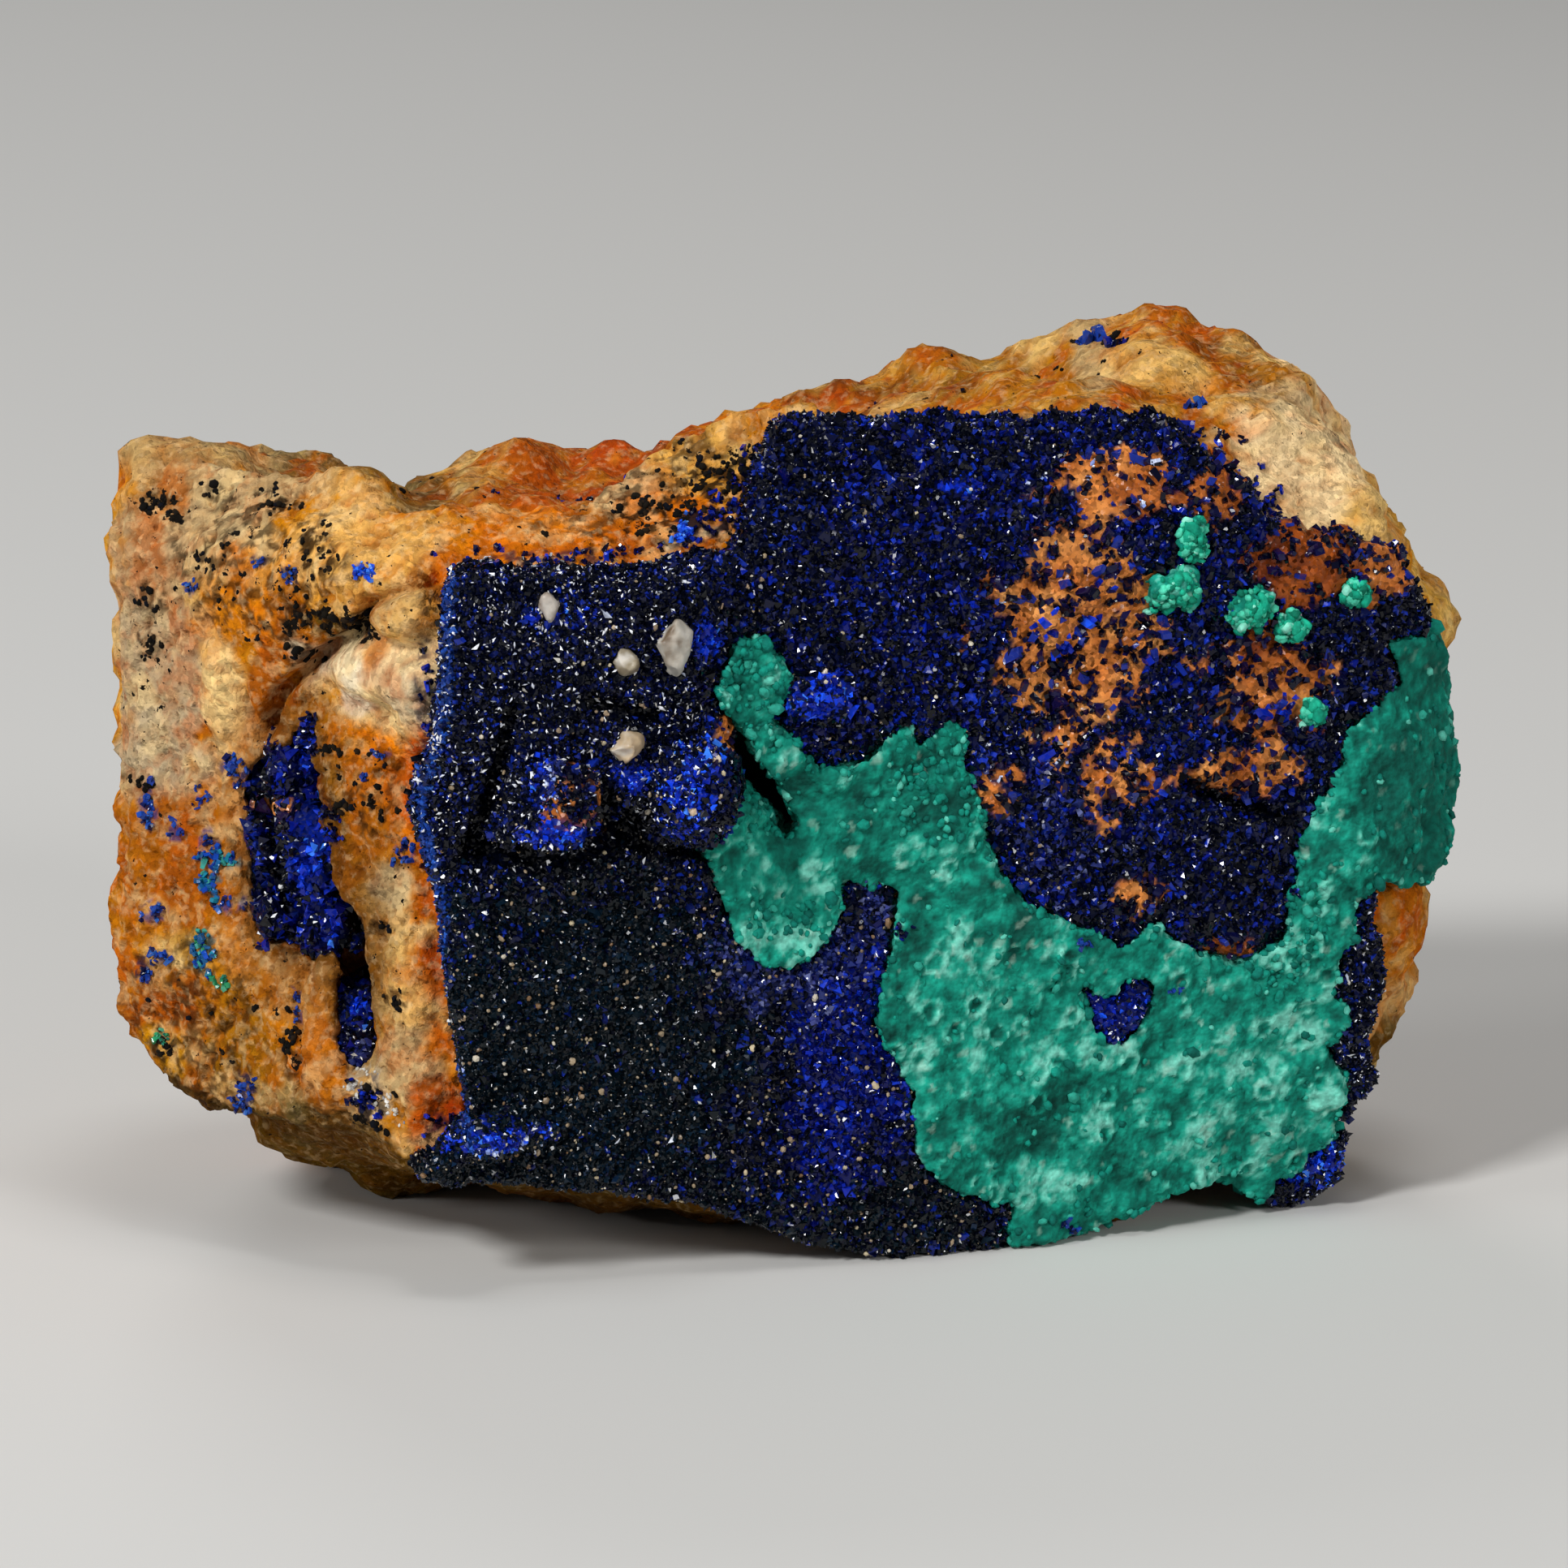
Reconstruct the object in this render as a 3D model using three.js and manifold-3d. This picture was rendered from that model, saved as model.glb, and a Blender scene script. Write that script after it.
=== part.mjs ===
// Azurite and malachite specimen: a broken block of iron-stained sandstone. A crust of drusy azurite
// covers its front face, a thicker crust of malachite covers the lower right of that, and a cleft in the
// left face holds a vein of azurite crystals. Small grains of quartz and tufts of malachite sit on the
// azurite. Millimetres. +X runs to the right across the crusted face, +Y back into the block and +Z up. It
// stands on z = 0.
import * as THREE from "three";
import Module from "manifold-3d";
import { ImprovedNoise } from "three/addons/math/ImprovedNoise.js";
import { mergeVertices } from "three/addons/utils/BufferGeometryUtils.js";

const wasm = await Module();
wasm.setup();

// The block: the point that its outlines are seen from, half its size, and where it is put on the ground
const CENTRE = { x: 0, z: 19 };
const HALF_WIDTH = 30;
const HALF_HEIGHT = 19;
const BACK_DEPTH = 17.6;
const PLACE_ON_GROUND = new THREE.Vector3(-0.4, 1.1, 0);

// The front face: two planes that meet in an upright edge, the prow. The left one turns again further out.
const PROW = { x: -15.7, depth: -16.3 };
const LEFT_SLOPE = 0.62;
const FAR_LEFT = { x: -23, depth: -12.1, slope: 0.85 };
const RIGHT_SLOPE = 0.33;
const RIGHT_FLANK = { x: 25, curve: 0.19 };

// More of the front face, with each [from, to] a stretch of x or z over which it changes: how it slopes back
// over the crust's top edge, and how its foot curves away
const LEFT_HALF = [0.5, -3.5];
const LEFT_BEVEL = { depth: 4.2, rise: [31.2, 35.5] };
const RIGHT_BEVEL = { slope: 0.5, z: 33 };
const FOOT = { slope: 0.1, z: 14 };
const RIGHT_FOOT = { slope: 0.3, z: 6, across: [14, 22] };

// The upper left of the crusted face stands proud of the rest, down to a ledge
const PROUD = { height: 1.5, left: [-16.4, -14.8], right: [-1.6, -4], top: [34, 31.2], foot: [22, 26] };
const LEDGE = { across: [-13.6, -12.2], rise: [18.4, 19.8] };

// On the left face an upper mass overhangs along a slanting edge, and the rest lies deeper
const OVERHANG = {
  depth: 1.5, edge: [-41.6, -40.2], foot: [8, 14], left: [-25.5, -23.5], right: [-14.8, -16.4],
};

// The rear: a broad break, tilted a little, with its borders chipped off and two low ledges across it
const REAR_BREAK = { set: 1.4, perZ: 0.12, perX: 0.08 };
const REAR_CHIPS = { left: [-9, 0.45], right: [11, 0.42], top: [31, 0.45], foot: [7, 0.35] };
const REAR_LEDGES = { low: [14, 16], lowDepth: 1.2, high: [30, 32], highDepth: 0.9 };

// The crusts, measured square to the sandstone
const GAP = 0.3;
const AZURITE_THICKNESS = 1.1;
const MALACHITE_THICKNESS = 1.5;
const VEIN_RECESS = 1.2;
const CLEFT_DEPTH = 5;
const VUG_DEPTH = 3;

// The mesh: squares across the width, the depth and the height
const COLUMNS = 26;
const LAYERS = 7;
const ROWS = 18;

// Outlines of the block [x, z], from the front rim to the back rim, a third of the depth apart. Where one
// runs below z = 0, the block is broken off flat and stands on that.
const FRONT_RIM = [
  [-28.9, 34.8], [-24.5, 35.2], [-20, 35], [-16.8, 34.2], [-12, 34.4], [-9.3, 33.8], [-7.2, 34.9],
  [-4.1, 36.5], [0, 37.2], [6.4, 37.2], [10, 36.6], [15.5, 36.9], [17.4, 36.2], [19.6, 34.6],
  [21.8, 31.6], [25, 31.2], [27, 30.3], [29.4, 25.9], [30.3, 21.2], [30.5, 17.8], [30, 15.9],
  [29, 14.9], [29, 10.2], [28.4, 8], [26.6, 6.8], [25.4, 4.6], [25, 1.8], [24.2, 0.15], [22.4, 0.15],
  [21.3, 2.8], [20, 3.6], [18.6, 2.4], [15.9, 1.2], [12.5, 0.15], [4.5, 0.15], [1.2, 1.2],
  [-3.8, 3.3], [-7.6, 4.3], [-12.9, 5.2], [-16.4, 5.4], [-18.2, 6.9], [-20.1, 6.9], [-22, 6],
  [-25.7, 6.4], [-28.3, 7.8],
  [-29, 9.4], [-29.6, 12.9], [-28.8, 20], [-29.2, 27.2], [-28.9, 30.4],
];
const FRONT_GIRDLE = [
  [-28.4, 34.8], [-24, 34.8], [-20.5, 33.2], [-18, 31.2], [-10, 31], [-4, 33], [2, 35.2], [8, 36.4],
  [14, 37.4], [19, 37.4], [22.8, 35.6], [25.9, 32.8], [27.8, 30.6], [29.4, 26], [30.1, 20], [29.8, 14],
  [29.1, 9.6], [27.6, 6.4], [25.6, 3.2], [23.6, 0.6], [20, 2], [15.6, -0.6], [12, -0.8], [-3, -0.8],
  [-10, 0.3], [-13, 1], [-17, 2.8], [-22, 4.4], [-26.6, 6.4], [-28.8, 9], [-29.4, 13], [-29.2, 22],
  [-28.9, 30],
];
const BACK_GIRDLE = [
  [-27.8, 33.2], [-24.3, 34.4], [-21.5, 33.6], [-19.4, 32.1], [-16.7, 32.1], [-10, 31.8], [-5, 32.6],
  [0, 34.3], [6, 35.7], [12, 37.2], [16, 38.7], [21, 38.6], [24, 36.6], [25.8, 34.2], [26.8, 31.6],
  [28.6, 28.4], [29.3, 22], [29, 13], [28, 8], [26.2, 4], [23.6, -0.8], [-20.5, -0.8], [-24.4, 1.6],
  [-28, 6], [-28.8, 12], [-28.4, 22], [-28.3, 29],
];
const BACK_RIM = [
  [-25.4, 28.6], [-20, 31], [-16.8, 32.2], [-13.8, 31.9], [-10.4, 32.5], [-8.4, 32], [-5, 33],
  [-1.4, 33.6], [2, 34.8], [6.6, 36.1], [12.7, 37.6], [15.4, 38.8], [17.2, 39.2], [21, 38.4],
  [24, 36.2], [25.8, 33], [26.9, 28], [27, 20], [26.4, 12], [24.8, 5.6], [22.2, 0.6], [-21.5, 0.6],
  [-25, 4.4], [-26.8, 12], [-26.4, 22],
];
const RINGS = [FRONT_RIM, FRONT_GIRDLE, BACK_GIRDLE, BACK_RIM];

// Swellings and hollows of the front face: [x, z, half width, half height, how far it stands out]
const FACE_RELIEF = [
  [6, 4, 8, 5, 1.3],
  [0.3, 20.8, 1.6, 1.8, -1.6],
  [12, 26, 4, 4, -0.9],
  [20.5, 25, 3, 3.5, -0.8],
  [12.5, 5.5, 3, 2.5, -0.7],
  [4, 17.2, 2, 1.6, -0.7],
  // The pebble and the quartz patch beside the prow, the wedge below them, and the far left edge
  [-16.6, 30.4, 1.8, 1.6, 1.4],
  [-17.4, 27.2, 2.6, 1.7, 1.2],
  [-21, 10.5, 1.8, 4, 0.8],
  [-25.5, 24, 2, 6, -0.6],
];

// Outlines of what lies on the front face [x, z]
const AZURITE_OUTLINE = [
  [-14, 32.1], [-11.3, 31.9], [-7.1, 31.7], [-2.3, 31.9], [-1.6, 33.2], [-1.2, 35], [0.6, 39], [16, 39],
  [17.2, 36], [20.3, 33.9], [22, 32], [23.2, 31.1], [24.6, 32.4], [29, 32], [32, 26], [32, 14.6],
  [29.4, 14.9], [26.6, 15.8], [26, 14], [26.9, 11], [25.9, 8], [26.4, 6.6], [28, -2], [-20, -2],
  [-15.4, 5.6], [-13.3, 7.1], [-13.8, 10.2], [-14.4, 14.7], [-14.7, 18.2], [-15.9, 21.9], [-15.6, 23.3],
  [-14.7, 24.6], [-14.2, 30.2],
];
const MALACHITE_OUTLINE = [
  [-2, 28.5], [-0.9, 28.7], [-0.3, 27.6], [0.3, 26.1], [-0.7, 24.6], [0.4, 24], [1.5, 22.2],
  [3.9, 22.9], [5.2, 24], [5.8, 23.2], [7.1, 24.1], [7.9, 23.2], [7.6, 22], [8.6, 20], [9.4, 17.3],
  [11.3, 15.3], [14.8, 13.5], [16.4, 14.3], [18.9, 12.5], [20.5, 12.2], [22.5, 13.6], [23.2, 18.2],
  [24.3, 19.8], [25.3, 22.8], [27.6, 24.5], [26.9, 26.5], [32, 26.4], [32, 15], [29.4, 14.9],
  [26.7, 15.8], [25.7, 15], [24.5, 10.8], [25.1, 9.5], [24.4, 8.2], [25.3, 6.5], [24.9, 3.4],
  [22.4, 1.8], [20, -2], [9.8, -2], [10.2, 2.2], [7.5, 3.2], [5.8, 5.2], [5.8, 7.8], [4, 11.1],
  [4.6, 13.4], [5, 16.9], [2.6, 17.6], [2.4, 15.6], [1.2, 14.2], [-0.9, 14], [-2.1, 15.4], [-3.4, 19.4],
  [-2.9, 20.8], [-1.2, 23.8], [-3, 26.2],
];
const VUG_OUTLINE = [
  [-2.7, 24.8], [-1.7, 24.1], [-0.8, 22.8], [0.2, 21.3], [0.7, 20.2], [0.2, 19.4], [-0.7, 20.4],
  [-1.7, 21.6], [-2.5, 22.3], [-2.9, 23.7],
];
const WINDOW_OUTLINE = [
  [13.3, 11.8], [14, 11.2], [14.7, 11.1], [15.3, 11.8], [16.1, 11.6], [15.9, 10.4], [14.8, 9.2],
  [13.9, 10],
];
const CLEFT_OUTLINE = [
  [-20.3, 25.1], [-20, 23.5], [-19.3, 18.9], [-19.2, 16.8], [-18.4, 16.4], [-18.4, 14.4], [-17.6, 10.8],
  [-18, 9.2], [-18.9, 8.9], [-19.4, 10.5], [-19.6, 14.2], [-23.2, 14.6], [-23.1, 20.6], [-23.6, 21.6],
  [-22, 23.2], [-20.9, 23.9],
];
const VEIN_FOOT = 14.5;
const CLUSTER_TOP = 12.4;

// Lumps of crystals grown into the crust: [x, z, width, height, how far it stands up, how far it is tilted]
const AZURITE_LUMPS = [
  [-10.4, 21.7, 4.4, 4.4, 1.1, 0],
  [-7.4, 22.3, 2.8, 2.4, 0.9, 0],
  [-4.3, 22.4, 3.2, 4, 1.3, 0.3],
  [1.5, 25.6, 2.6, 1.7, 0.9, 0],
  [-13.7, 6.7, 5, 1.1, 1, 0.5],
];
const VEIN_LUMPS = [
  [-21.3, 22.2, 2.6, 1.8, 1.1, 0.4],
  [-20.6, 20, 1.6, 3, 0.7, 0.3],
  [-22.1, 18.4, 1.2, 3.4, 0.9, 0.5],
  [-21.6, 15.6, 2, 1.4, 0.8, 0],
];

// Larger single crystals on the lumps and in the open druse: [x, z, length, turn, how far it stands out]
const AZURITE_CRYSTALS = [
  [-11.6, 20.4, 1.5, 0.4, 0.6],
  [-10.2, 20, 1.6, 1.9, 0.6],
  [-9, 20.6, 1.4, 2.8, 0.6],
  [-10.8, 23.2, 1.4, 1.1, 0.6],
  [-7.3, 21.9, 1.5, 0.2, 0.5],
  [-4.9, 23.6, 1.4, 0.9, 0.7],
  [-3.8, 22, 1.5, 2.5, 0.7],
  [-4.6, 21.2, 1.3, 1.6, 0.7],
  [0.9, 25.9, 1.4, 0.3, 0.5],
  [1.9, 25.2, 1.5, 1.4, 0.5],
  [7, 29, 1.3, 0.8, 0.2],
  [11.6, 28.8, 1.4, 0.5, 0.2],
  [12.5, 29.4, 1.3, 1.7, 0.2],
  [9.2, 33.6, 1.2, 2.9, 0.2],
  [21.6, 24.2, 1.3, 0.6, 0.2],
  [15.2, 17.6, 1.3, 2.3, 0.2],
];

// What sits on the azurite: [name, x, z, width, height, how far it stands up]
const QUARTZ_GRAINS = [
  ["quartz_grain_large", -4.8, 28.9, 2.2, 2.9, 1],
  ["quartz_grain_small", -6.8, 28.2, 1.5, 1.2, 0.8],
  ["quartz_grain_middle", -7, 24.4, 1.9, 1.5, 1],
  ["quartz_grain_top", -10, 30.7, 1.6, 2.1, 0.8],
];
const MALACHITE_TUFTS = [
  ["malachite_tuft_top", 17.7, 31.9, 1.9, 2.5, 0.8],
  ["malachite_tuft_left", 17, 29.7, 2.7, 1.9, 1],
  ["malachite_tuft_middle", 20.5, 28.6, 2.1, 1.9, 0.9],
  ["malachite_tuft_right", 22.4, 27.5, 1.9, 1.4, 0.8],
  ["malachite_tuft_low", 23.3, 23.5, 1.5, 1.4, 0.8],
  ["malachite_tuft_edge", 25.2, 29, 1.3, 1.9, 0.7],
];

const { smoothstep, lerp } = THREE.MathUtils;
const perlin = new ImprovedNoise();

// Uneven ground, about -1 to 1: a coarse wave of the given length with two finer ones on it
function uneven(x, y, z, length) {
  let sum = 0;
  for (const octave of [1, 2, 4]) {
    const k = octave / length;
    sum += perlin.noise(x * k, y * k, z * k + octave * 7.3) / octave;
  }
  return sum;
}

// How far a value is through a stretch, eased from 0 to 1. The stretch may also run downwards.
function through(value, [from, to]) {
  return from < to ? smoothstep(value, from, to) : 1 - smoothstep(value, to, from);
}

// The larger of two depths, with the crease between them rounded over about `radius`
function softMax(a, b, radius) {
  return radius * Math.log(Math.exp(a / radius) + Math.exp(b / radius));
}

// How far back the sandstone's front face lies
function faceDepth(x, z) {
  const farLeft = FAR_LEFT.depth + (FAR_LEFT.x - x) * FAR_LEFT.slope;
  const left = softMax(PROW.depth + (PROW.x - x) * LEFT_SLOPE, farLeft, 0.4);
  let depth = softMax(left, PROW.depth + (x - PROW.x) * RIGHT_SLOPE, 0.7);
  const leftHalf = through(x, LEFT_HALF);
  depth += leftHalf * LEFT_BEVEL.depth * through(z, LEFT_BEVEL.rise);
  depth += (1 - leftHalf) * RIGHT_BEVEL.slope * Math.max(0, z - RIGHT_BEVEL.z);
  depth += RIGHT_FLANK.curve * Math.max(0, x - RIGHT_FLANK.x) ** 2;
  depth += FOOT.slope * Math.max(0, FOOT.z - z);
  depth += through(x, RIGHT_FOOT.across) * RIGHT_FOOT.slope * Math.max(0, RIGHT_FOOT.z - z);
  const overLedge = through(x, LEDGE.across) * through(z, LEDGE.rise);
  const proud = Math.max(overLedge, through(z, PROUD.foot)) * through(x, PROUD.left);
  depth -= PROUD.height * proud * through(x, PROUD.right) * through(z, PROUD.top);
  const underMass = through(x * LEFT_SLOPE - z, OVERHANG.edge) * through(z, OVERHANG.foot);
  depth += OVERHANG.depth * underMass * through(x, OVERHANG.left) * through(x, OVERHANG.right);
  for (const [atX, atZ, halfWidth, halfHeight, standsOut] of FACE_RELIEF) {
    depth -= standsOut * Math.exp(-(((x - atX) / halfWidth) ** 2) - ((z - atZ) / halfHeight) ** 2);
  }
  return depth + 0.45 * uneven(x, 0, z, 7);
}

// How much longer a way straight out along Y is than the way square to the front face
function lean(x, z) {
  const step = 1;
  const acrossX = (faceDepth(x + step, z) - faceDepth(x - step, z)) / (2 * step);
  const acrossZ = (faceDepth(x, z + step) - faceDepth(x, z - step)) / (2 * step);
  return Math.min(Math.hypot(1, acrossX, acrossZ), 2.2);
}

// How far back the rear of the block lies: a broad break with its borders chipped off
function rearDepth(x, z) {
  const { left, right, top, foot } = REAR_CHIPS;
  const chip = ([, slope], past) => -slope * Math.max(0, past);
  const chips = [
    chip(left, left[0] - x),
    chip(right, x - right[0]),
    chip(top, z - top[0]),
    chip(foot, foot[0] - z),
    REAR_BREAK.perZ * (z - CENTRE.z) - REAR_BREAK.perX * x - REAR_BREAK.set,
  ];
  const lowLedge = REAR_LEDGES.lowDepth * through(z - 0.5 * x, REAR_LEDGES.low);
  const highLedge = REAR_LEDGES.highDepth * through(z + 0.7 * x, REAR_LEDGES.high);
  return BACK_DEPTH + Math.min(...chips) - lowLedge + highLedge + 0.7 * uneven(x, 40, z, 8);
}

// How far an outline reaches from the centre in the direction [along, up]
function reach(outline, along, up) {
  let furthest = 0;
  outline.forEach(([x, z], i) => {
    const [nextX, nextZ] = outline[(i + 1) % outline.length];
    const [fromX, fromZ] = [x - CENTRE.x, z - CENTRE.z];
    const [sideX, sideZ] = [nextX - x, nextZ - z];
    const turn = along * sideZ - up * sideX;
    const distance = (fromX * sideZ - fromZ * sideX) / turn;
    const share = (fromX * up - fromZ * along) / turn;
    if (distance > furthest && share >= -1e-6 && share <= 1 + 1e-6) furthest = distance;
  });
  return furthest;
}

// Places a point of the square [-1, 1] x [-1, 1] inside the block's outline at the given layer, 0 to 1
function placeInOutline(across, upward, layer) {
  const edge = Math.max(Math.abs(across), Math.abs(upward));
  if (edge === 0) return { x: CENTRE.x, z: CENTRE.z };
  const direction = new THREE.Vector2(across * HALF_WIDTH, upward * HALF_HEIGHT).normalize();
  const ring = Math.min(layer * (RINGS.length - 1), RINGS.length - 1 - 1e-9);
  const [nearer, further] = [RINGS[Math.floor(ring)], RINGS[Math.floor(ring) + 1]];
  const nearerReach = reach(nearer, direction.x, direction.y);
  let distance = lerp(nearerReach, reach(further, direction.x, direction.y), ring % 1);
  const fade = 4 * layer * (1 - layer);
  distance += fade * 0.8 * uneven(direction.x * HALF_WIDTH, layer * 30, direction.y * HALF_WIDTH, 8);
  distance *= edge;
  return { x: CENTRE.x + direction.x * distance, z: CENTRE.z + direction.y * distance };
}

// A closed three.js geometry as a solid that can be joined and cut
function solidOf(geometry) {
  geometry.deleteAttribute("normal");
  geometry.deleteAttribute("uv");
  const merged = mergeVertices(geometry, 1e-4);
  const vertProperties = new Float32Array(merged.getAttribute("position").array);
  return new wasm.Manifold(
    new wasm.Mesh({ numProp: 3, vertProperties, triVerts: new Uint32Array(merged.index.array) }),
  );
}

// A box of small squares whose points, each coordinate from -1 to 1, are moved by `place`
function wrappedBox(layers, place) {
  const box = new THREE.BoxGeometry(2, 2, 2, COLUMNS, layers, ROWS);
  const position = box.getAttribute("position");
  for (let i = 0; i < position.count; i++) {
    const { x, y, z } = place(position.getX(i), position.getY(i), position.getZ(i));
    position.setXYZ(i, x, y, Math.max(z, 0));
  }
  return solidOf(box);
}

// The whole block, before anything is cut
function makeBlock() {
  return wrappedBox(LAYERS, (across, backward, upward) => {
    const layer = (backward + 1) / 2;
    const { x, z } = placeInOutline(across, upward, layer);
    if (layer === 0) return { x, y: faceDepth(x, z), z };
    if (layer === 1) return { x, y: rearDepth(x, z), z };
    const front = placeInOutline(across, upward, 0);
    const rear = placeInOutline(across, upward, 1);
    return { x, y: lerp(faceDepth(front.x, front.z), rearDepth(rear.x, rear.z), layer), z };
  });
}

// All that lies behind a copy of the front face which stands out from the sandstone by standOut(x, z), with
// its rim widened by `spread`
function behindFace(standOut, spread = 0) {
  return wrappedBox(1, (across, backward, upward) => {
    const { x, z } = placeInOutline(across, upward, 0);
    const isRim = Math.max(Math.abs(across), Math.abs(upward)) === 1;
    const widen = isRim ? 1 + spread / Math.hypot(x - CENTRE.x, z - CENTRE.z) : 1;
    const y = backward < 0 ? faceDepth(x, z) - standOut(x, z) * lean(x, z) : BACK_DEPTH;
    return { x: CENTRE.x + (x - CENTRE.x) * widen, y, z: CENTRE.z + (z - CENTRE.z) * widen };
  });
}

// What lies between two copies of the front face, `near` and `far` in front of the sandstone. The far one is
// a hair wider, so that it cuts cleanly through the rim.
function layerOnFace(near, far) {
  return behindFace(near).subtract(behindFace(far, 0.02));
}

// An outline moved outwards by `distance`, or inwards if that is negative, with its corners kept sharp
function grown(outline, distance) {
  const area = THREE.ShapeUtils.area(outline.map(([x, y]) => ({ x, y })));
  const outwards = Math.sign(area) * distance;
  const facing = (a, b) => new THREE.Vector2(b[1] - a[1], a[0] - b[0]).normalize();
  return outline.map(([x, z], i) => {
    const before = facing(outline[(i + outline.length - 1) % outline.length], [x, z]);
    const after = facing([x, z], outline[(i + 1) % outline.length]);
    const share = outwards / Math.max(1 + before.dot(after), 0.4);
    return [x + (before.x + after.x) * share, z + (before.y + after.y) * share];
  });
}

// A prism through the block from front to back, over an outline on the front face
function prism(outline) {
  const shape = new THREE.Shape(outline.map(([x, z]) => new THREE.Vector2(x, z)));
  const extruded = new THREE.ExtrudeGeometry(shape, { depth: 60, bevelEnabled: false });
  return solidOf(extruded.rotateX(Math.PI / 2).translate(0, 30, 0));
}

// A hollow of the given depth, cut into the front face over an outline
function hollow(outline, depth) {
  return layerOnFace(() => 8, () => -depth).intersect(prism(outline));
}

// An uneven pebble of the given width, depth and height, tilted in the front face. Its roundness is 0 for a
// broken grain with a few flat faces, or 1.
function pebble([x, y, z], [width, depth, height], tilt, roundness = 1) {
  const ball = new THREE.IcosahedronGeometry(0.5, roundness);
  const position = ball.getAttribute("position");
  const point = new THREE.Vector3();
  for (let i = 0; i < position.count; i++) {
    point.fromBufferAttribute(position, i);
    point.multiplyScalar(1 + 0.25 * uneven(point.x + x, point.y, point.z + z, 0.7));
    position.setXYZ(i, point.x * width, point.y * depth, point.z * height);
  }
  return solidOf(ball.rotateY(-tilt).translate(x, y, z));
}

// A stubby azurite crystal with flat faces: a four-sided prism with a slanting wedge at each end
function crystal([x, y, z], length, turn) {
  const shard = new THREE.CylinderGeometry(0.3, 0.3, 0.55, 4, 1);
  const position = shard.getAttribute("position");
  for (let i = 0; i < position.count; i++) {
    const isEnd = Math.hypot(position.getX(i), position.getZ(i)) < 0.01;
    if (isEnd) position.setXYZ(i, 0.06, Math.sign(position.getY(i)) * 0.5, 0.04);
  }
  shard.scale(length, length, length * 0.75).rotateX(0.9).rotateY(turn);
  return solidOf(shard.translate(x, y, z));
}

// The solid with its pieces sorted from the largest to the smallest
function piecesOf(solid) {
  return solid.decompose().sort((a, b) => b.volume() - a.volume());
}

// The surfaces of the crusts, measured from the sandstone. The malachite is lumpier and stands higher.
const azuriteSurface = (x, z) => GAP + AZURITE_THICKNESS + 0.25 * uneven(x, 9, z, 3.2);
const malachiteSurface = (x, z) => GAP + MALACHITE_THICKNESS + 0.55 * uneven(x, 3, z, 3.6);
const veinSurface = (x, z) => -VEIN_RECESS + 0.5 * uneven(x, 5, z, 2.6);

// A place on one of those surfaces, sunk into it by `sunk`
function onSurface(surface, x, z, sunk) {
  return [x, faceDepth(x, z) - surface(x, z) * lean(x, z) + sunk, z];
}

// The azurite in two parts: the druse, and the strip that shows beyond the malachite on the right
function makeAzurite() {
  let azurite = layerOnFace(azuriteSurface, () => GAP).intersect(prism(AZURITE_OUTLINE));
  const inFront = layerOnFace(() => 8, () => GAP);
  for (const [x, z, width, height, standsUp, tilt] of AZURITE_LUMPS) {
    const middle = onSurface(azuriteSurface, x, z, 0.4);
    const lump = pebble(middle, [width, 2 * (standsUp + 0.4), height], tilt);
    azurite = azurite.add(lump.intersect(inFront));
  }
  for (const [x, z, length, turn, standsOut] of AZURITE_CRYSTALS) {
    azurite = azurite.add(crystal(onSurface(azuriteSurface, x, z, -standsOut), length, turn));
  }
  azurite = azurite.subtract(prism(grown(MALACHITE_OUTLINE, GAP))).subtract(prism(VUG_OUTLINE));
  return piecesOf(azurite).slice(0, 2);
}

function makeMalachiteCrust() {
  const crust = layerOnFace(malachiteSurface, () => GAP).intersect(prism(MALACHITE_OUTLINE));
  const openings = prism(grown(WINDOW_OUTLINE, GAP)).add(prism(VUG_OUTLINE));
  return piecesOf(crust.subtract(openings))[0];
}

// The crystals of the cleft in two parts: the vein in its upper part and a cluster in the narrow foot
function makeVein() {
  const room = layerOnFace(() => 0, () => GAP - CLEFT_DEPTH).intersect(prism(grown(CLEFT_OUTLINE, -GAP)));
  let crystals = behindFace(veinSurface);
  for (const [x, z, width, height, standsUp, tilt] of VEIN_LUMPS) {
    const middle = onSurface(veinSurface, x, z, 0.4);
    crystals = crystals.add(pebble(middle, [width, 2 * (standsUp + 0.4), height], tilt));
  }
  const filling = crystals.intersect(room);
  const above = (z) => prism([[-26, z], [-14, z], [-14, 40], [-26, 40]]);
  return [filling.intersect(above(VEIN_FOOT)), filling.subtract(above(CLUSTER_TOP))];
}

// A grain or tuft that sits on the azurite, cut off where it meets the crust
function makeSeated(x, z, width, height, standsUp, crust, roundness) {
  const middle = onSurface(azuriteSurface, x, z, 0.1);
  return piecesOf(pebble(middle, [width, 2 * (standsUp + 0.1), height], 0, roundness).subtract(crust))[0];
}

const FINISHES = {
  sandstone: { color: 0xb8793a, roughness: 0.9, metalness: 0 },
  azurite: { color: 0x0b1f6e, roughness: 0.3, metalness: 0 },
  malachite: { color: 0x15886c, roughness: 0.75, metalness: 0 },
  quartz: { color: 0xcfc5b4, roughness: 0.45, metalness: 0 },
};

const specimen = new THREE.Group();
specimen.position.copy(PLACE_ON_GROUND);

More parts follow.
